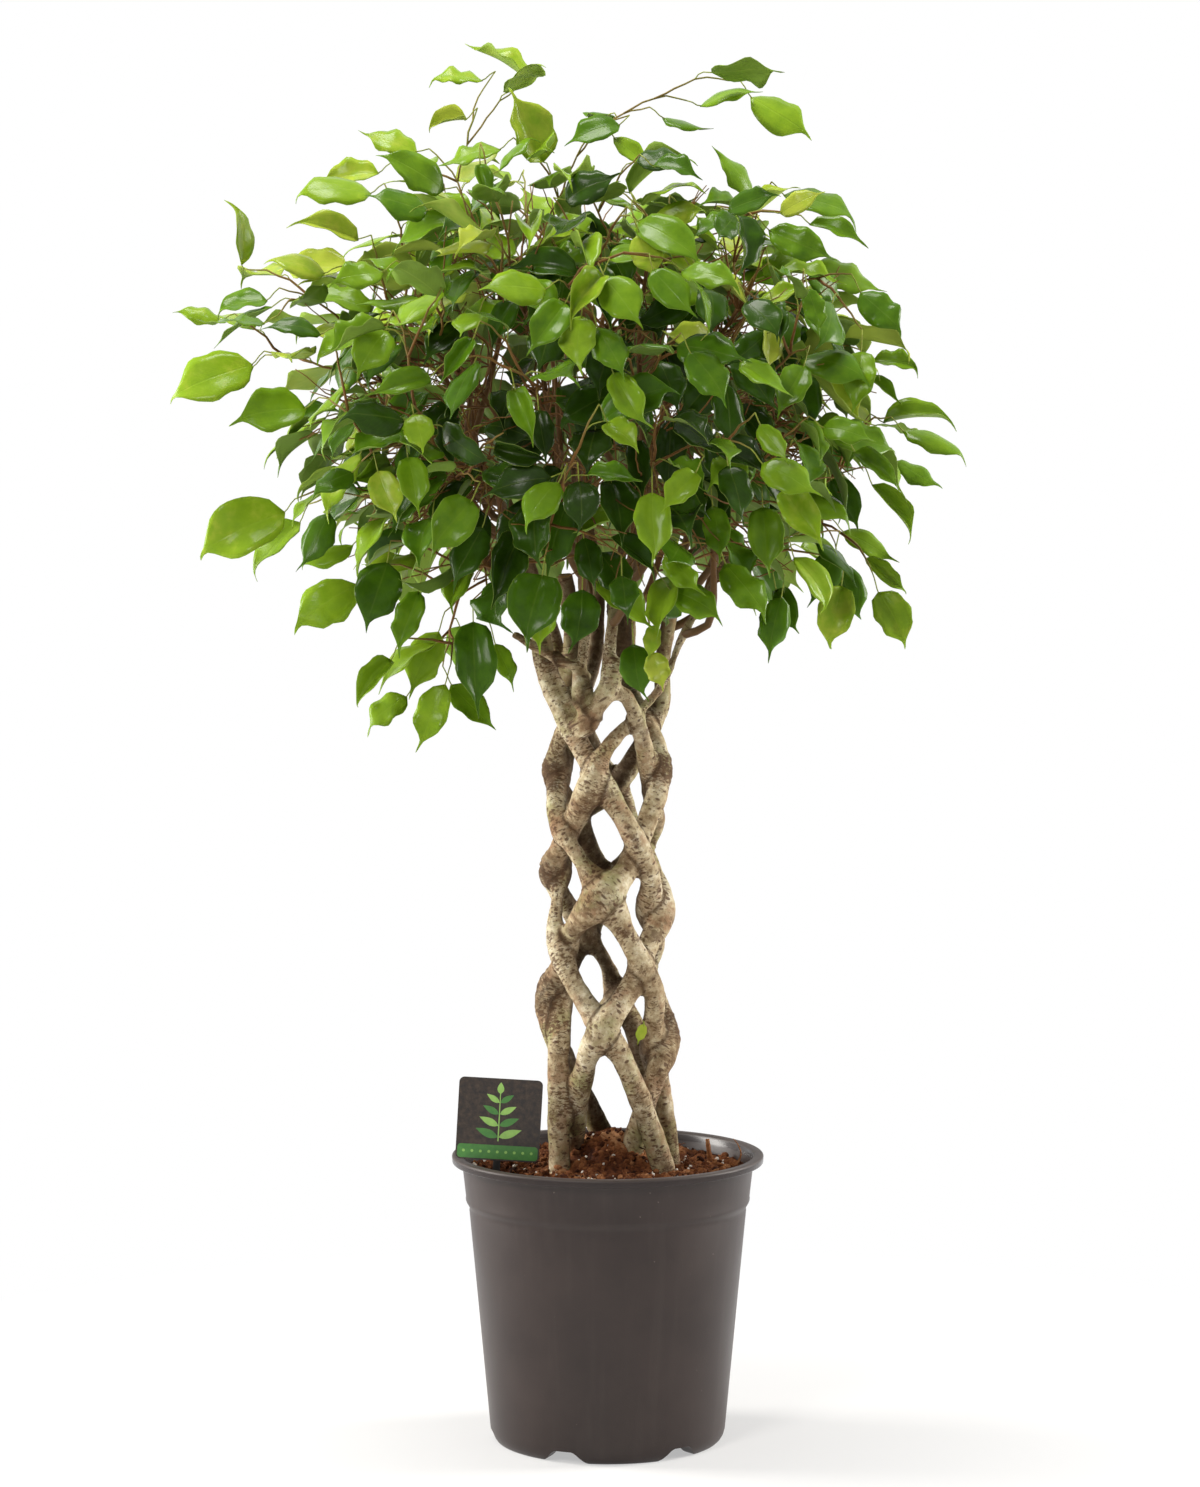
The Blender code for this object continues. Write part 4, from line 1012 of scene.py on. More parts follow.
# ---- label


def card_place():
    lean = Matrix.Rotation(math.radians(CARD_LEAN[0]), 4, "X")
    lean = Matrix.Rotation(math.radians(CARD_LEAN[1]), 4, "Y") @ lean
    return Matrix.Translation(CARD_CENTRE) @ lean


def slab(outline, back, front):
    """Points and faces of a flat plate with this outline, between two depths (Y)."""
    count = len(outline)
    points = [Vector((x, front, z)) for x, z in outline] + [Vector((x, back, z)) for x, z in outline]
    faces = [tuple(range(count)), tuple(reversed(range(count, 2 * count)))]
    faces += [(a, a + count, (a + 1) % count + count, (a + 1) % count) for a in range(count)]
    return points, faces


def rounded_box(width, height, corner, lift=0.0):
    """The outline of a box with round corners, its centre this far above the origin."""
    made = []
    for side_x, side_z, start in ((1, 1, 0), (-1, 1, 90), (-1, -1, 180), (1, -1, 270)):
        middle = (side_x * (width / 2 - corner), lift + side_z * (height / 2 - corner))
        made += arc(middle, corner, start, start + 90, 5)
    return made


def leaf_outline(foot, tip, width):
    """A simple pointed leaf between two points, for the print."""
    foot, tip = Vector(foot), Vector(tip)
    along = tip - foot
    across = Vector((-along.y, along.x)).normalized() * width
    made = []
    for side, shares in ((1, range(9)), (-1, range(7, 0, -1))):
        for share in (eighth / 8 for eighth in shares):
            made.append(foot + along * share + across * side * math.sin(math.pi * share**0.8))
    return [tuple(point) for point in made]


def make_card():
    """The card, printed with a plain sprig of leaves over a green band."""
    place = card_place()
    width, thickness, height = CARD_SIZE
    front, back = -thickness / 2 + 0.00012, thickness / 2
    edge, band = 0.0012, 0.0105
    sheaf = Sheaf()

    def plate(outline, slot, back, front):
        points, faces = slab(outline, back, front)
        sheaf.add([place @ point for point in points], faces, slot)

    def ink(outline, slot, layer):
        plate(outline, slot, front, front - 0.00004 * layer)

    plate(rounded_box(width, height, CARD_CORNER), 0, back, front)
    ink(rounded_box(width - 2 * edge, band, 0.0026, -height / 2 + edge + band / 2), 1, 1)
    for x in taper(-width / 2 + 0.006, width / 2 - 0.006, 9):
        ink(arc((x, -height / 2 + 0.0066), 0.0011, 0, 330, 11), 2, 2)
    for side in (-1, 1):
        for step in range(4):
            foot = (side * 0.0004, -0.0135 + 0.0088 * step)
            tip = (side * (0.0175 - 0.0024 * step), foot[1] + 0.0062)
            ink(leaf_outline(foot, tip, 0.0031 - 0.0003 * step), 1 + (step + (side > 0)) % 2, 1)
    ink(leaf_outline((0.0, 0.0195), (0.0, 0.0285), 0.0026), 2, 1)
    ink([(-0.0005, -0.0165), (0.0005, -0.0165), (0.0003, 0.0205), (-0.0003, 0.0205)], 2, 2)
    mesh = sheaf.mesh("plant_label")
    mesh.shade_flat()
    looks = (
        card_look(),
        print_look("print_green", (0.030, 0.140, 0.028), (0.085, 0.290, 0.045)),
        print_look("print_lime", (0.190, 0.440, 0.080), (0.400, 0.640, 0.160)),
    )
    piece("plant_label", mesh, "label_card", ["label_card"], *looks)


def make_stake():
    """The label's stake: a flat blade with a wide head behind the card, with soft edges."""
    width, thickness, length = STAKE_SIZE
    head, head_height = STAKE_HEAD
    tip, neck = STAKE_TOP - length, STAKE_TOP - head_height
    half = [
        (0.0008, tip), (width / 2, tip + 0.012), (width / 2, neck - 0.004),
        (width / 2 + 0.0012, neck - 0.001), (head / 2 - 0.002, neck), (head / 2, neck + 0.002),
        (head / 2, STAKE_TOP - 0.002), (head / 2 - 0.002, STAKE_TOP),
    ]
    near = CARD_SIZE[1] / 2 + 0.0003
    sheaf = Sheaf()
    points, faces = slab(half + [(-x, z) for x, z in reversed(half)], near + thickness, near)
    place = card_place()
    sheaf.add([place @ point for point in points], faces)
    blade = sheaf.mesh("label_stake_blade")
    obj = piece("label_stake_blade", blade, "label_stake", ["label_stake"], stake_look())
    soft = obj.modifiers.new("soft edges", "BEVEL")
    soft.width = 0.00025
    soft.segments = 2
    soft.limit_method = "ANGLE"
    apply_modifiers(obj)
    keep_edges(obj.data, STAKE_EDGES)


# ---- trunk


def lattice_point(way, start, level):
    """Where a stem is when it has climbed to a level of the even lattice."""
    turn = 360.0 * (level - FIRST_CROSSING) / PITCH
    azimuth = start + turn if way == "a" else start - turn
    side = math.radians(azimuth)
    over = 1.0 if way == "a" else -1.0
    ring = mix(RING_FOOT, RING_TOP, ramp(level, LATTICE_FOOT, LATTICE_TOP))
    radius = ring + over * WEAVE * math.cos(4.0 * side)
    total = turned = raised = pushed = 0.0
    for place, height, turn, lift, push in PULLS:
        off = math.radians((azimuth - place + 180.0) % 360.0 - 180.0) * ring
        near = math.exp(-(off**2 + (level - height) ** 2) / (2.0 * PULL_REACH**2))
        total += near
        turned += near * turn
        raised += near * lift
        pushed += near * push
    turned, pushed = turned / total, pushed / total
    for stem_way, stem_start, height, turn, push in STRAYS:
        if (stem_way, stem_start) == (way, start):
            near = math.exp(-(((level - height) / STRAY_REACH) ** 2))
            turned += near * turn
            pushed += near * push
    return around(azimuth + turned, radius + pushed, level + raised / total)


def stem_path(way, start, foot, leader, spacing):
    foot = Vector((*foot, soil_height(math.hypot(*foot))))
    woven = [lattice_point(way, start, level) for level in taper(LATTICE_FOOT, LATTICE_TOP, 9)]
    root = foot - (woven[0] - foot) * 0.25
    root.z = foot.z - ROOT_DEPTH
    return smooth([root, foot, *woven, *map(Vector, leader)], spacing)


def stem_paths(spacing):
    return [stem_path(way, start, foot, leader, spacing) for way, start, foot, _, leader in STEMS]


def stem_radius(height, vigour):
    """A stem thins slowly up the lattice, and its leader starts thicker or thinner and tapers to its tip."""
    woven = mix(STEM_FOOT, STEM_WAIST, ramp(height, LATTICE_FOOT, LATTICE_TOP))
    leader = mix(STEM_WAIST * vigour, STEM_TIP, ramp(height, LATTICE_TOP + 0.04, 0.72))
    return mix(woven, leader, ramp(height, LATTICE_TOP - 0.015, LATTICE_TOP + 0.02))


def nearest_tree(points):
    tree = kdtree.KDTree(len(points))
    for number, point in enumerate(points):
        tree.insert(point, number)
    tree.balance()
    return tree


# Old joints, dark and wrinkled: place, size and how far they swell.
KNOTS = (
    ((-0.047, -0.006, 0.515), 0.016, 0.0016),
    ((-0.049, -0.004, 0.438), 0.015, 0.0016),
    ((-0.051, -0.004, 0.349), 0.018, 0.0014),
    ((0.046, -0.012, 0.519), 0.012, 0.0010),
    ((0.050, 0.006, 0.318), 0.014, 0.0010),
    ((-0.036, -0.026, 0.606), 0.013, 0.0012),
)

# Where a stem is much thicker or thinner: place, reach and by how much.
SWELLINGS = (
    ((-0.004, -0.040, 0.420), 0.034, 0.42),
    ((0.002, -0.040, 0.322), 0.028, 0.16),
    ((0.045, -0.004, 0.405), 0.034, 0.22),
    ((0.047, -0.004, 0.300), 0.030, 0.18),
    ((-0.041, -0.006, 0.414), 0.032, -0.34),
    ((-0.022, -0.032, 0.456), 0.024, -0.16),
    ((-0.044, -0.010, 0.480), 0.024, -0.12),
    ((-0.020, -0.036, 0.500), 0.030, 0.22),
    ((0.004, 0.038, 0.370), 0.036, -0.28),
)

# Short bridges of wood that old grafts left between stems at the foot of the leaders, and two dark old shoots
# that stand inside the ring of leaders: points and radius.
BRIDGES = (
    (
        ((0.006, -0.044, 0.606), (0.000, -0.046, 0.583), (-0.011, -0.044, 0.566), (-0.022, -0.036, 0.550)),
        0.0078,
    ),
    (((-0.020, -0.034, 0.594), (-0.020, -0.041, 0.580), (-0.016, -0.043, 0.564)), 0.0068),
    (
        ((-0.021, -0.035, 0.598), (-0.036, -0.039, 0.604), (-0.0515, -0.039, 0.612), (-0.072, -0.037, 0.624)),
        0.0036,
    ),
    (
        ((0.0165, 0.0260, 0.588), (0.0115, 0.0140, 0.606), (0.0090, 0.0120, 0.630), (0.0060, 0.0140, 0.668)),
        0.0074,
    ),
    (
        ((-0.031, 0.024, 0.585), (-0.0275, 0.012, 0.605), (-0.0285, 0.010, 0.630), (-0.033, 0.012, 0.668)),
        0.0062,
    ),
)
FILLET = 0.0085  # how far from a corner between two stems it is filled
BARK_VOXEL = 0.00186
STEM_STEP = 0.004  # between the points of a stem's middle line
TRUNK_AXIS = 0.004  # how far behind the pot's axis (Y)
SLIMMER = 0.84  # a stem's girth away from its joints, next to the solids'


class Grain:
    """Where the surface of the trunk is, measured from the stems' middle lines."""

    def __init__(self, paths, radii):
        self.paths, self.radii = paths, radii
        self.trees = [nearest_tree(path) for path in paths]

    def nearest(self, point):
        """(how far outside the stem, stem, place on its path) for each stem, the nearest first."""
        found = []
        for number, tree in enumerate(self.trees):
            _, place, distance = tree.find(point)
            found.append((distance - self.radii[number][place], number, place))
        return sorted(found)

    def unrolled(self, point, stem, place):
        """The point on its stem as if unrolled: round it, round it again and along it, in metres."""
        path = self.paths[stem]
        ahead = path[min(place + 1, len(path) - 1)] - path[max(place - 1, 0)]
        ahead.normalize()
        away = point - path[place]
        out = away - ahead * away.dot(ahead)
        side = ahead.orthogonal().normalized()
        flat = Vector((out.dot(side), out.dot(ahead.cross(side))))
        if flat.length > 1e-6:
            flat = flat.normalized() * STEM_WAIST
        return Vector((flat.x, flat.y, place * STEM_STEP + away.dot(ahead) + stem * 1.7))


def stem_girths(number, path, vigour, others):
    """The stem's radius along its path: uneven, and swollen where it meets another and at its foot."""
    radii = []
    for step, point in enumerate(path):
        gap = min(tree.find(point)[2] for tree in others)
        swell = 0.08 * ramp(gap, 0.030, 0.016) * ramp(point.z, LATTICE_TOP + 0.02, LATTICE_TOP - 0.02)
        grain = 0.09 * noise.noise(Vector((step * 0.10, number * 5.0, 0.0)))
        foot = 0.10 * ramp(point.z, 0.250, 0.215)
        for centre, reach, amount in SWELLINGS:
            swell += amount * ease((point - Vector(centre)).length, reach, 0.2 * reach)
        radii.append(stem_radius(point.z, vigour) * (SLIMMER + swell + grain + foot))
    return radii


def grown_together(paths, radii):
    """The stems and bridges as one mesh of even small faces."""
    sheaf = Sheaf()
    for path, girths in zip(paths, radii):
        sheaf.add(*tube(path, girths, 20))
    for line, radius in BRIDGES:
        path = smooth([Vector(point) for point in line], STEM_STEP)
        girths = [radius * (1.0 + 0.15 * noise.noise(point * 60.0)) for point in path]
        sheaf.add(*tube(path, girths, 16))
    obj = plain_object("lattice_trunk", sheaf.mesh("lattice_trunk"))
    remesh = obj.modifiers.new("join", "REMESH")
    remesh.mode = "VOXEL"
    remesh.voxel_size = BARK_VOXEL
    soften = obj.modifiers.new("soften", "SMOOTH")
    soften.factor = 0.5
    soften.iterations = 6
    apply_modifiers(obj)
    mesh = obj.data
    bpy.data.objects.remove(obj)
    return mesh


def push(mesh, moves):
    """Moves each point of the mesh by its own distance along its normal."""
    for vert, normal, move in zip(mesh.vertices, [vert.normal.copy() for vert in mesh.vertices], moves):
        vert.co += normal * move
    mesh.update()


def make_trunk():
    """The eight stems grown into one lattice: joined, filled at the corners, then wrinkled and knotted."""
    paths = stem_paths(STEM_STEP)
    trees = [nearest_tree(path) for path in paths]
    radii = []
    for number, path in enumerate(paths):
        others = [tree for other, tree in enumerate(trees) if other != number]
        radii.append(stem_girths(number, path, STEMS[number][3], others))
    grain = Grain(paths, radii)
    mesh = grown_together(paths, radii)
    moves = []
    for vert in mesh.vertices:
        (first, *_), (second, *_) = grain.nearest(vert.co)[:2]
        corner = max(0.0, 1.0 - (second - max(first, 0.0)) / FILLET)
        moves.append(FILLET * corner**2 / 4.0)
    push(mesh, moves)

    bark, moves = [], []
    marks = {"joint": [], "knot": [], "relief": [], "inside": [], "crease": []}
    for vert in mesh.vertices:
        (first, stem, place), (second, *_) = grain.nearest(vert.co)[:2]
        flat = grain.unrolled(vert.co, stem, place)
        meet = ease(second - first, 0.010, 0.0)
        near = bulge = 0.0
        for centre, size, rise in KNOTS:
            share = ease((vert.co - Vector(centre)).length, 1.4 * size, 0.56 * size)
            near = max(near, share)
            bulge = max(bulge, share * rise)
        from_axis = Vector((vert.co.x, vert.co.y - TRUNK_AXIS, 0.0))
        deep = ease(math.hypot(vert.co.x, vert.co.y - TRUNK_AXIS), 0.031, 0.023)
        deep *= ease(vert.co.z, 0.545, 0.565)
        lumps = noise.noise(vert.co * 42.0) * 0.0011 + noise.noise(vert.co * 120.0) * 0.0005
        swirl = noise.noise(vert.co * 90.0) * 0.0030
        ring = noise.noise(Vector((flat.x * 45.0, flat.y * 45.0, (flat.z + swirl) * 260.0)))
        wrinkle = (1.0 - 2.4 * abs(ring)) * (0.00012 + 0.00062 * max(meet, near))
        bark.extend(flat)
        moves.append(lumps + wrinkle + bulge)
        marks["joint"].append(meet)
        marks["knot"].append(near)
        # painted shade in the bark's colour: relief darkens hollows and lightens bumps a little, inside
        # darkens the side towards the trunk's middle and round its axis above the lattice, crease darkens
        # creases between stems
        marks["relief"].append((lumps * 0.6 + wrinkle * 1.4) / 0.001)
        marks["inside"].append(max(deep, ease(-vert.normal.dot(from_axis.normalized()), 0.05, 0.85)))
        marks["crease"].append(ease(second - first, 0.0060, 0.0005) * ease(first, 0.0001, 0.0016))
    push(mesh, moves)
    mesh.attributes.new("bark", "FLOAT_VECTOR", "POINT").data.foreach_set("vector", bark)
    for name, values in marks.items():
        mesh.attributes.new(name, "FLOAT", "POINT").data.foreach_set("value", values)
    mesh.shade_smooth()
    stems = [f"stem_{number}" for number in range(1, len(STEMS) + 1)]
    piece("lattice_trunk", mesh, "bark", stems, bark_look())


# ---- crown: where limbs and shoots are

LIMB_SLIMMER = 0.8  # a limb's tip and base next to the solids'
OUTLINE_REACH = 0.215  # a shoot further from the crown's middle, seen from the front, is at its outline


def dome_point(turn, rise, reach):
    """A point of the crown at this azimuth and elevation, at a share of the dome's radius."""
    flat = math.cos(rise)
    way = Vector((math.sin(turn) * flat, -math.cos(turn) * flat, math.sin(rise)))
    return CROWN_CENTRE + Vector(CROWN_RADII[axis] * way[axis] * reach for axis in range(3))


def spiral(count, low, high):
    """Evenly spread (azimuth, elevation) pairs in radians, between two elevations in degrees."""
    golden = math.pi * (3.0 - math.sqrt(5.0))
    bottom, top = (math.sin(math.radians(rise)) for rise in (low, high))
    for number in range(count):
        yield golden * number, math.asin(mix(bottom, top, (number + 0.5) / count))


def share_limbs(goals, leaders):
    """Gives each limb's goal to the leader it lies nearest to, where that has room for it."""
    owned = [[] for _ in leaders]
    pairs = sorted(
        ((goal - leader[-1]).length, limb, number)
        for limb, goal in enumerate(goals)
        for number, leader in enumerate(leaders)
    )
    given = set()
    for _, limb, number in pairs:
        if limb not in given and len(owned[number]) < MOST_LIMBS:
            owned[number].append(limb)
            given.add(limb)
    return owned


def limb_path(leader, start, goal):
    """A limb leaves its leader outwards, then climbs and levels off at its goal."""
    root = leader[start]
    along = (leader[start] - leader[start - 1]).normalized()
    away = goal - root
    flat = Vector((away.x, away.y, 0.0)) + Vector((root.x, root.y, 0.0)) * 0.5
    flat.normalize()
    first = root + (along * 0.5 + flat * 0.7) * away.length * 0.22
    second = root + away * 0.62 + UP * (away.length * 0.07)
    return smooth([root, first, second, goal], 0.012)


Limb = namedtuple("Limb", "stem path base")


def grow_limbs():
    leaders = [[point for point in path if point.z > LEADER_FOOT] for path in stem_paths(0.028)]
    pairs = spiral(LIMBS, -38, 80)
    goals = [dome_point(turn, rise, LIMB_REACH) for turn, rise in pairs]
    limbs = []
    for number, owned in enumerate(share_limbs(goals, leaders)):
        rising = sorted(owned, key=lambda limb: goals[limb].z)
        leader = leaders[number]
        for order, limb in enumerate(rising):
            wanted = 1 + round((len(leader) - 2) * order / max(1, len(rising) - 1))
            path = limb_path(leader, wanted, goals[limb])
            base = min(LIMB_BASE, stem_radius(path[0].z, STEMS[number][3]) * LIMB_SLIMMER)
            limbs.append(Limb(number, path, base))
    return limbs


@dataclass
class Shoot:
    """A twig to grow: the leaf at its end, and the smaller leaves along it."""

    base: Vector  # where the end leaf's stalk ends
    heading: Vector
    facing: Vector
    length: float
    shade: float
    ageing_and_light: tuple  # the range by which the leaves along it are darker or lighter
    laterals: int
    spread: float  # between the leaves along it
    needed: bool = False
    stem: int = 0
    line: tuple = ()


def leaf_frame(base, heading, facing):
    """The leaf's matrix: X along its midrib, Z out of its upper face, with the base at its origin."""
    along = heading.normalized()
    upper = facing - along * facing.dot(along)
    if upper.length < 1e-4:
        upper = along.orthogonal()
    upper.normalize()
    across = upper.cross(along)
    turn = Matrix((along, across, upper)).transposed().to_4x4()
    return Matrix.Translation(base) @ turn


def shoot_facing(base, square):
    """Which way a leaf's upper face looks: up, and outwards the squarer it faces the viewer's side."""
    outward = base - CROWN_CENTRE
    outward.z *= 0.3
    outward.normalize()
    return outward * square + UP * (1.15 - square)


def feature_list(chance):
    """The shoots of the table."""
    for *place, degrees, length, square, shade in SHOOTS:
        turn = math.radians(degrees)
        base = Vector(value / 1000 for value in place)
        heading = Vector((math.cos(turn), 0.45 * (place[1] / 1000) / CROWN_RADII.y, math.sin(turn)))
        square, shade = square / 100, shade / 100
        facing = Vector((0.0, -1.0, 0.25)) * square + UP * (1.0 - square)
        edge = math.hypot(base.x - CROWN_CENTRE.x, base.z - CROWN_CENTRE.z) > OUTLINE_REACH
        # painted shade: leaves at the crown's front are a little darker
        shade *= 1.0 - 0.08 * ramp(-base.y, 0.08, 0.20) * ramp(base.z, 0.60, 0.70)
        # painted light: leaves along shoots at the outline, low down and at the top left stay lighter
        upper_left = base.z > 0.88 and base.x < -0.04
        ageing_and_light = (0.85, 1.12) if edge or base.z < 0.70 or upper_left else (0.45, 1.0)
        laterals, spread = 2, 0.026
        if edge:
            laterals, spread = chance.choice((0, 1) if base.z > 0.95 else (1, 2)), 0.034
        yield Shoot(base, heading, facing, length / 1000, shade, ageing_and_light, laterals, spread, True)


def nearest_limb(base, limbs):
    """The stem and the point of the limbs' outer halves that lies nearest."""
    places = ((limb.stem, point) for limb in limbs for point in limb.path[len(limb.path) // 2 :])
    return min(places, key=lambda place: (place[1] - base).length)


# ---- crown: leaves and twigs

CROWN_SEED = 23
LEAF_ROWS, LEAF_COLUMNS = 15, 6
LEAF_WIDTH = 0.272  # half the blade's width over its length
LEAF_THICKNESS = 0.00035
STALK_RADIUS = 0.0005
SHOOT_SPACING = 0.039
TWIG_REACH = 0.075  # a longer twig branches from another one
FILL_PLACES, INNER_SHOOTS = 760, 195
BARE_TWIGS = 22  # on each limb
LEAF_TRIES = 7
# The small yellow leaf on the trunk: its stem, node, stalk, heading, facing, length and shade.
LONE_LEAF = (
    1, (0.0268, -0.0440, 0.3305), (0.0006, -0.002, -0.002), (-0.35, 0.0, -1.0), (0.0, -1.0, 0.1),
    0.0165, 1.0,
)


def leaf_half_width(u):
    """Half the blade's width along its length, widest at two fifths, with a drawn-out tip."""
    body = math.sin(math.pi * u**0.78) ** 0.66 if 0.0 < u < 1.0 else 0.0
    return body * (1.0 - 0.86 * ease(u, 0.60, 0.87)) + 0.007


def leaf_mesh(length, chance, limp):
    """The points, faces and blade coordinates of one leaf, bent, folded and waved in its own way."""
    bend = chance.uniform(0.05, 0.85) + 0.30 * limp
    hook = chance.uniform(-0.6, 1.3)
    sickle = chance.uniform(-0.13, 0.13)
    flick = chance.uniform(-0.10, 0.10)
    fold = chance.choice((0.05, 0.15, 0.25, 0.4, 0.8)) * chance.uniform(0.7, 1.2)
    cup = chance.uniform(-0.40, 0.25)
    wave = chance.uniform(0.012, 0.052)
    count = chance.uniform(1.4, 3.3)
    nick = chance.uniform(0.02, 0.09)
    phases = {-1: chance.uniform(0, 1), 1: chance.uniform(0, 1), 0: 0.0}
    twist = chance.gauss(0.0, 0.40)
    width = LEAF_WIDTH * chance.uniform(0.80, 1.14)
    u = x = z = 0.0
    points, along, across = [], [], []
    for row in range(LEAF_ROWS + 1):
        before, u = u, (row / LEAF_ROWS) ** 0.87
        slope = bend * u + hook * ease(u, 0.72, 1.0)
        x += math.cos(slope) * (u - before)
        z -= math.sin(slope) * (u - before)
        half = width * leaf_half_width(u)
        roll = twist * u
        veer = sickle * (u * u - u * 0.5) + flick * ease(u, 0.70, 1.05)
        swing = 0.012 * math.sin(math.tau * (1.3 * u + phases[1]))
        middle = math.sin(math.pi * u)
        for column in range(LEAF_COLUMNS + 1):
            v = 2.0 * column / LEAF_COLUMNS - 1.0
            side = (v > 0) - (v < 0)
            reach = half * (1.0 + nick * math.sin(math.tau * (3.3 * u + phases[side])) * middle)
            ripple = wave * abs(v) ** 1.6 * math.sin(math.tau * (count * u + phases[side])) * middle
            y = v * reach * math.cos(fold)
            lift = abs(v) * reach * (math.sin(fold) + cup * abs(v)) + ripple + swing * u
            y, lift = y * math.cos(roll) - lift * math.sin(roll), y * math.sin(roll) + lift * math.cos(roll)
            points.append(Vector((x + lift * math.sin(slope), y + veer, z + lift * math.cos(slope))))
            along.append(u)
            across.append(v)
    level = Matrix.Rotation(math.atan2(z, x), 3, "Y")
    points = [level @ point * length for point in points]
    faces = []
    stride = LEAF_COLUMNS + 1
    for row in range(LEAF_ROWS):
        for column in range(LEAF_COLUMNS):
            a = row * stride + column
            faces.append((a, a + stride, a + stride + 1, a + 1))
    return points, faces, along, across


class Room:
    """What already fills the crown, so that a new leaf can keep clear of it."""

    def __init__(self):
        self.trees = []
        self.boxes = np.empty((0, 6))

    def add(self, points, faces):
        self.trees.append(BVHTree.FromPolygons(points, faces))
        co = np.array(points)
        self.boxes = np.vstack([self.boxes, [*co.min(axis=0), *co.max(axis=0)]])

    def clashes(self, points, faces):
        """How many faces of what is placed these faces cut."""
        co = np.array(points)
        below_top = (self.boxes[:, :3] <= co.max(axis=0)).all(axis=1)
        near = below_top & (self.boxes[:, 3:] >= co.min(axis=0)).all(axis=1)
        tree = BVHTree.FromPolygons(points, faces)
        return sum(len(tree.overlap(self.trees[number])) for number in np.nonzero(near)[0])


def jolt(chance, size):
    return Vector(chance.uniform(-size, size) for _ in range(3))


def leaf_tone(foot, shade):
    """A leaf's shade where it hangs: painted shade in the middle, painted light below, right and at the top
    left.
    """
    right = foot.x - CROWN_CENTRE.x
    middle = ramp(math.hypot(right, foot.z - CROWN_CENTRE.z), 0.15, 0.06)
    tone = shade - 0.06 * middle * ramp(shade, 0.65, 0.45)
    tone += 0.20 * ramp(foot.z, 0.72, 0.64) * (shade < 0.7) + 0.10 * ramp(right, 0.08, 0.18)
    tone += 0.07 * ramp(foot.z, 0.84, 0.91) * ramp(foot.x, -0.03, -0.12)
    return clamp(tone)


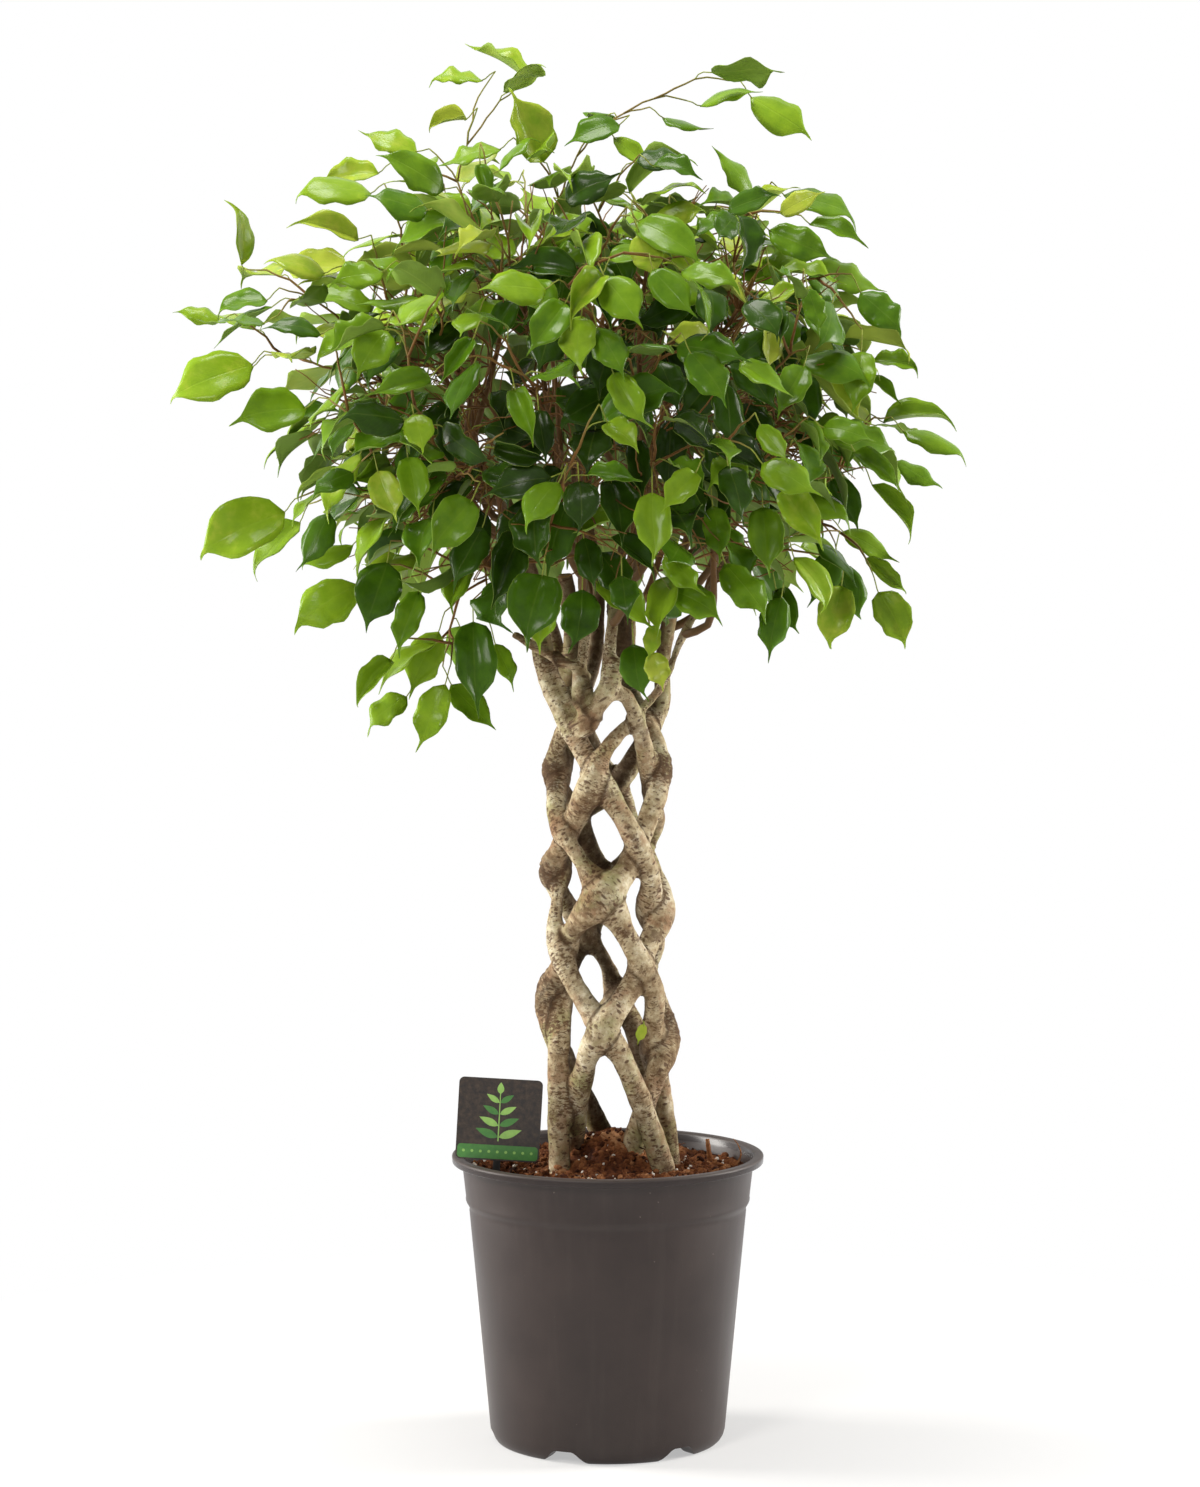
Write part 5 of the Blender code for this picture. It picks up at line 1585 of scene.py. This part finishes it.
class Crown:
    """Gathers the leaves and the wood of each stem's share of the crown."""

    def __init__(self, box):
        self.low, self.high = (Vector(corner) for corner in box)
        self.leaves = [Sheaf("shade", "along", "across") for _ in STEMS]
        self.wood = [Sheaf("young") for _ in STEMS]
        self.twigs = []
        self.room = Room()
        self.chance = random.Random(CROWN_SEED)

    def rod(self, stem, line, thick, thin, old, young, sides):
        """A tapered piece of wood, and its age from old bark (0) to new growth (1) along it."""
        radii = taper(thick, thin, len(line))
        ages = [age for age in taper(old, young, len(line)) for _ in range(sides)]
        self.wood[stem].add(*tube(line, radii, sides), young=ages)
        return radii

    def block(self, line, radii):
        """Keeps leaves out of a piece of wood."""
        step = 2 if len(line) > 4 else 1
        self.room.add(*tube(line[::step], radii[::step], 5))

    def inside(self, points):
        """How far points must move to be inside the crown's box, or None if that is far."""
        shift = Vector((0.0, 0.0, 0.0))
        for axis in range(3):
            low = min(point[axis] for point in points)
            high = max(point[axis] for point in points)
            shift[axis] = max(0.0, self.low[axis] + 0.0006 - low) - max(0.0, high - self.high[axis] + 0.0006)
        return shift if shift.length < 0.02 else None

    def leaf(self, stem, node, base, heading, facing, length, shade, limp=0.0, needed=False, most=3):
        """One leaf on a curved stalk from a twig's node: of a few tries, the first that is clear of the rest.

        A leaf that isn't needed is left out where it would cut more than this many faces.
        """
        best = None
        for attempt in range(LEAF_TRIES):
            loose = (0.05 if needed else 0.14) * attempt
            points, faces, along, across = leaf_mesh(length, self.chance, limp)
            foot = base + jolt(self.chance, 0.0012 * attempt)
            way = heading.normalized() + jolt(self.chance, loose)
            place = leaf_frame(foot, way, facing.normalized() + jolt(self.chance, loose))
            placed = [place @ point for point in points]
            shift = self.inside(placed)
            if shift is None:
                continue
            placed = [point + shift for point in placed]
            cuts = self.room.clashes(placed, faces)
            if best is None or cuts < best[0]:
                best = (cuts, foot + shift, way, placed, faces, along, across)
            if cuts == 0:
                break
        if best is None or (best[0] > most and not needed):
            return
        _, foot, way, placed, faces, along, across = best
        self.room.add(placed, faces)
        tone = leaf_tone(foot, shade)
        self.leaves[stem].add(placed, faces, 0, shade=tone, along=along, across=across)
        out = foot - node
        middle = node + out * 0.5 - way.normalized() * 0.12 * out.length + UP * (0.15 * out.length)
        line = smooth([node, middle, foot, foot + way.normalized() * 0.002], 0.005)
        self.rod(stem, line, STALK_RADIUS, STALK_RADIUS, 0.95, 0.95, 5)

    def root(self, base, limbs):
        """A twig's stem and root: on the nearest limb or, if that is far, on a nearer twig."""
        stem, root = nearest_limb(base, limbs)
        far = (root - base).length
        if far > TWIG_REACH:
            for other, line in self.twigs:
                half = len(line) // 2
                point, onward = line[half], line[half + 1] - line[half - 1]
                if (point - base).length < far and onward.angle(base - point) < math.radians(70):
                    stem, root, far = other, point, (point - base).length
        return stem, root

    def twig(self, limbs, shoot):
        """A twig from its root towards a shoot's leaf, a little zigzag at its nodes."""
        base, heading = shoot.base, shoot.heading.normalized()
        stem, root = self.root(base, limbs)
        stalk = min(0.016, 0.3 * (base - root).length)
        tip = base - heading * stalk * 0.6 + UP * (stalk * 0.4)
        away = tip - root
        middle = root + away * 0.5 + UP * (0.10 * away.length) + jolt(self.chance, 0.06 * away.length)
        line = smooth([root, middle, tip], 0.009)
        line = [line[0], *[point + jolt(self.chance, 0.0012) for point in line[1:-1]], line[-1]]
        thickest = mix(0.00120, 0.00085, ramp(base.z, 0.92, 1.00))
        oldest = 0.45 + 0.30 * ramp(base.z, 0.94, 1.0)
        # the twig's tip is greener the lighter its leaf's shade, painted light included
        radii = self.rod(stem, line, thickest, 0.00055, oldest, 0.72 + 0.24 * shoot.shade, 6)
        self.block(line, radii)
        self.twigs.append((stem, line))
        shoot.stem, shoot.line = stem, line

    def bare_twig(self, limb):
        """A thin twig with no leaves, inside the crown."""
        chance = self.chance
        root = limb.path[chance.randrange(len(limb.path) // 3, len(limb.path))]
        out = (root - CROWN_CENTRE).normalized() + UP * 0.3 + jolt(chance, 0.9)
        tip = root + out.normalized() * chance.uniform(0.04, 0.10)
        from_centre = tip - CROWN_CENTRE
        if tip.z < 0.66 or Vector(from_centre[axis] / CROWN_RADII[axis] for axis in range(3)).length > 0.92:
            return
        middle = root.lerp(tip, 0.5) + jolt(chance, 0.012)
        line = smooth([root, middle, tip], 0.009)
        line = [line[0], *[point + jolt(chance, 0.0010) for point in line[1:]]]
        self.rod(limb.stem, line, 0.0009, 0.0004, 0.42, 0.62, 5)

    def end_leaf(self, shoot):
        leaf = (shoot.heading, shoot.facing, shoot.length, shoot.shade, 1.0 - shoot.shade)
        self.leaf(shoot.stem, shoot.line[-1], shoot.base, *leaf, shoot.needed, most=12)

    def side_leaves(self, shoot):
        """Leaves on alternate sides back along the twig."""
        chance = self.chance
        line, shade = shoot.line, shoot.shade
        side_sign = chance.choice((-1, 1))
        reach = 0.0
        step_back = len(line) - 1
        for number in range(shoot.laterals):
            goal = (number + 1) * shoot.spread * chance.uniform(0.8, 1.2)
            while step_back > 1 and reach < goal:
                reach += (line[step_back] - line[step_back - 1]).length
                step_back -= 1
            if step_back <= 1:
                break
            node = line[step_back]
            ahead = (line[step_back + 1] - line[step_back]).normalized()
            side = ahead.cross(UP)
            side = side.normalized() if side.length > 0.2 else Vector((1, 0, 0))
            side_sign = -side_sign
            droop = mix(1.0, 0.25, ramp(shade + chance.uniform(-0.2, 0.2), 0.1, 0.9))
            way = ahead * chance.uniform(0.3, 0.7) + side * side_sign * chance.uniform(0.55, 0.95)
            way += jolt(chance, 0.15) - UP * (droop * chance.uniform(0.5, 1.1))
            way.normalize()
            leave = (ahead * 0.5 + side * side_sign * 0.8 + UP * 0.2).normalized()
            foot = node + leave * chance.uniform(0.008, 0.014) + way * 0.004
            look_to = shoot_facing(foot, mix(0.85, 0.35, shade)) + jolt(chance, 0.3)
            # leaves further back are old growth and darker, by the shoot's range, which also holds painted
            # light
            back_leaf_shade = min(1.0, shade * chance.uniform(*shoot.ageing_and_light))
            self.leaf(shoot.stem, node, foot, way, look_to, chance.uniform(0.042, 0.066), back_leaf_shade, 1.0 - shade)


def fill_places(taken, chance):
    """Places over the dome, none near another or a taken one.

    At the outline seen from the front they stay further in, because the table of shoots draws it.
    """
    for turn, rise in spiral(FILL_PLACES, -46, 86):
        edge = abs(math.cos(turn) * math.cos(rise)) < 0.50
        reach = chance.uniform(0.60, 0.83) if edge else chance.uniform(0.80, 0.99)
        base = dome_point(turn + chance.uniform(-0.12, 0.12), rise + chance.uniform(-0.08, 0.08), reach)
        aside = ramp(abs(base.x - CROWN_CENTRE.x) / CROWN_RADII.x, 0.45, 0.75)
        if min((base - other).length for other in taken) >= SHOOT_SPACING * mix(1.0, 1.22, aside):
            taken.append(base)
            yield base, rise


def fill_list(taken, chance):
    """Shoots over the rest of the dome: level above, hanging below, and lighter towards the outside.

    The lighter shades at the top, left, right and low down are painted light.
    """
    for base, rise in fill_places(taken, chance):
        out = (base - CROWN_CENTRE).normalized()
        sink = mix(1.1, 0.15, ramp(math.sin(rise), -0.6, 0.7))
        heading = Vector((out.x, out.y, 0.0)) + jolt(chance, 0.4) - UP * sink
        facing = shoot_facing(base, mix(0.9, 0.3, ramp(math.sin(rise), -0.5, 0.6)))
        # painted light: lighter at the top, at the left and right, and low down
        shade = 0.08 + 0.82 * ramp(base.z, 0.79, 0.92)
        shade = shade + 0.75 * ramp(-out.x, 0.32, 0.80) + 0.62 * ramp(out.x, 0.38, 0.90)
        shade = clamp(min(0.84, shade + 0.35 * ramp(base.z, 0.72, 0.62)) + chance.gauss(0.0, 0.10))
        length = chance.uniform(0.044, 0.070)
        yield Shoot(base, heading, facing, length, shade, (0.75, 1.10), chance.choice((2, 3)), 0.025)


def inner_list(chance):
    """Darker shoots below the surface: old growth, and painted shade.

    Near the top and at the left they are lighter, which is painted light.
    """
    for turn, rise in spiral(INNER_SHOOTS, -40, 82):
        base = dome_point(turn, rise, chance.uniform(0.48, 0.80))
        out = (base - CROWN_CENTRE).normalized()
        heading = Vector((out.x * 0.6, out.y * 0.6, -1.0)) + jolt(chance, 0.35)
        facing = shoot_facing(base, 0.9) + jolt(chance, 0.3)
        shade = chance.uniform(0.0, 0.22) + 0.40 * ramp(base.z, 0.86, 0.94) + 0.30 * ramp(-out.x, 0.5, 0.9)
        yield Shoot(base, heading, facing, chance.uniform(0.044, 0.062), shade, (0.6, 1.0), 2, 0.022)


def make_crown():
    limbs = grow_limbs()
    crown = Crown(cad_box)
    chance = crown.chance
    for (*_, vigour, _), line in zip(STEMS, stem_paths(0.012)):
        path = [point for point in line if point.z > 0.5]
        crown.block(path, [stem_radius(point.z, vigour) + 0.001 for point in path])
    tip = LIMB_TIP * LIMB_SLIMMER
    for limb in limbs:
        crown.block(limb.path, crown.rod(limb.stem, limb.path, limb.base, tip, 0.05, 0.45, 8))
    shoots = list(feature_list(chance))
    taken = [shoot.base for shoot in shoots]
    shoots += fill_list(taken, chance)
    shoots += inner_list(chance)
    for shoot in sorted(shoots, key=lambda shoot: (shoot.base - CROWN_CENTRE).length):
        crown.twig(limbs, shoot)
    for limb in limbs:
        for _ in range(BARE_TWIGS):
            crown.bare_twig(limb)
    for shoot in shoots:
        crown.end_leaf(shoot)
    for shoot in shoots:
        crown.side_leaves(shoot)
    stem, *lone_leaf = LONE_LEAF
    node, out, heading, facing = map(Vector, lone_leaf[:4])
    crown.leaf(stem, node, node + out, heading, facing, *lone_leaf[4:], needed=True)
    return crown


def build_crown():
    crown = make_crown()
    upper, lower, wood = leaf_look("leaf_upper", True), leaf_look("leaf_lower", False), twig_look()
    branches = sorted(name for name in frame["nodes"] if name.startswith("branch_"))
    shares = [branches[number :: len(STEMS)] for number in range(len(STEMS))]
    for number in range(len(STEMS)):
        leaves = crown.leaves[number].mesh(f"leaves_{number + 1}")
        obj = piece(f"leaves_{number + 1}", leaves, "foliage", shares[number], upper, lower)
        body = obj.modifiers.new("thickness", "SOLIDIFY")
        body.thickness = LEAF_THICKNESS
        body.offset = -1.0
        body.material_offset = 1
        body.material_offset_rim = 1
        apply_modifiers(obj)
        obj.data.shade_smooth()
        twigs = crown.wood[number].mesh(f"twigs_{number + 1}")
        piece(f"twigs_{number + 1}", twigs, "bark", [], wood)


# ---- stage

CAMERA_PLACE, CAMERA_LENS, CAMERA_DIP = (-0.006, -3.0, 0.7405), 95.11, 3.856
STUDIO_LIGHT = 0.155
LAMP_COLOUR = (1.0, 0.965, 0.915)
# Each lamp's name, place, the height on the plant's axis that it points at, its size and its power.
SOFTBOXES = (
    ("left softbox", (-2.25, 0.40, 1.10), 0.6, (0.9, 1.7), 84),
    ("right softbox", (2.25, 0.40, 1.10), 0.6, (0.9, 1.7), 76),
    ("top softbox", (-0.3, -0.1, 2.75), 0.75, (0.9, 0.9), 51),
    ("front softbox", (-1.2, -2.4, 2.00), 0.6, (0.8, 0.8), 38),
)


def seen_or_mirrored(tree):
    """1 where the camera, a reflection or glass looks at the background, and 0 for light on the object."""
    rays = tree.nodes.new("ShaderNodeLightPath").outputs
    seen = rays["Is Camera Ray"]
    for other in ("Is Glossy Ray", "Is Transmission Ray"):
        either = tree.nodes.new("ShaderNodeMath")
        either.operation = "MAXIMUM"
        tree.links.new(seen, either.inputs[0])
        tree.links.new(rays[other], either.inputs[1])
        seen = either.outputs[0]
    return seen


def make_floor():
    """A pale floor that keeps the pot's shadow and turns white away from it."""
    bm = bmesh.new()
    bmesh.ops.create_circle(bm, cap_ends=True, radius=9.0, segments=96)
    look = Look("floor", 0.9, 0.0)
    look.colour((0.86, 0.86, 0.86))
    distance = look.add("ShaderNodeVectorMath", "Value", {0: look.place}, operation="LENGTH")
    far = look.span(distance, 0.10, 0.75, 0.45, 1.0)
    share = look.times(far, seen_or_mirrored(look.tree))
    glow = look.add("ShaderNodeEmission", 0)
    both = look.add("ShaderNodeMixShader", 0, {0: share, 1: look.shader.outputs[0], 2: glow})
    look.join(both, look.tree.nodes["Material Output"].inputs["Surface"])
    plain_object("floor", mesh_from(bm, "floor"), look.material)


def make_world():
    world = bpy.data.worlds.new("studio")
    world.use_nodes = True
    bpy.context.scene.world = world
    tree = world.node_tree
    back = tree.nodes["Background"]
    back.inputs["Color"].default_value = (1.0, 1.0, 1.0, 1.0)
    level = tree.nodes.new("ShaderNodeMapRange")
    level.inputs["To Min"].default_value = STUDIO_LIGHT
    level.inputs["To Max"].default_value = 1.0
    tree.links.new(seen_or_mirrored(tree), level.inputs["Value"])
    tree.links.new(level.outputs["Result"], back.inputs["Strength"])


def make_lights():
    for name, place, aim, size, power in SOFTBOXES:
        lamp = bpy.data.lights.new(name, "AREA")
        lamp.shape = "RECTANGLE"
        lamp.size, lamp.size_y = size
        lamp.energy = power
        lamp.color = LAMP_COLOUR
        obj = bpy.data.objects.new(name, lamp)
        bpy.context.scene.collection.objects.link(obj)
        obj.location = place
        obj.rotation_euler = (Vector((0.0, 0.0, aim)) - Vector(place)).to_track_quat("-Z", "Y").to_euler()


def make_camera():
    camera = bpy.data.cameras.new("camera")
    camera.lens = CAMERA_LENS
    obj = bpy.data.objects.new("camera", camera)
    bpy.context.scene.collection.objects.link(obj)
    obj.location = CAMERA_PLACE
    obj.rotation_euler = (math.radians(90.0 - CAMERA_DIP), 0.0, 0.0)
    bpy.context.scene.camera = obj


make_camera()
make_world()
make_lights()
make_floor()
make_pot()
make_soil()
make_card()
make_stake()
make_trunk()
build_crown()
bpy.context.scene.view_settings.view_transform = "Standard"
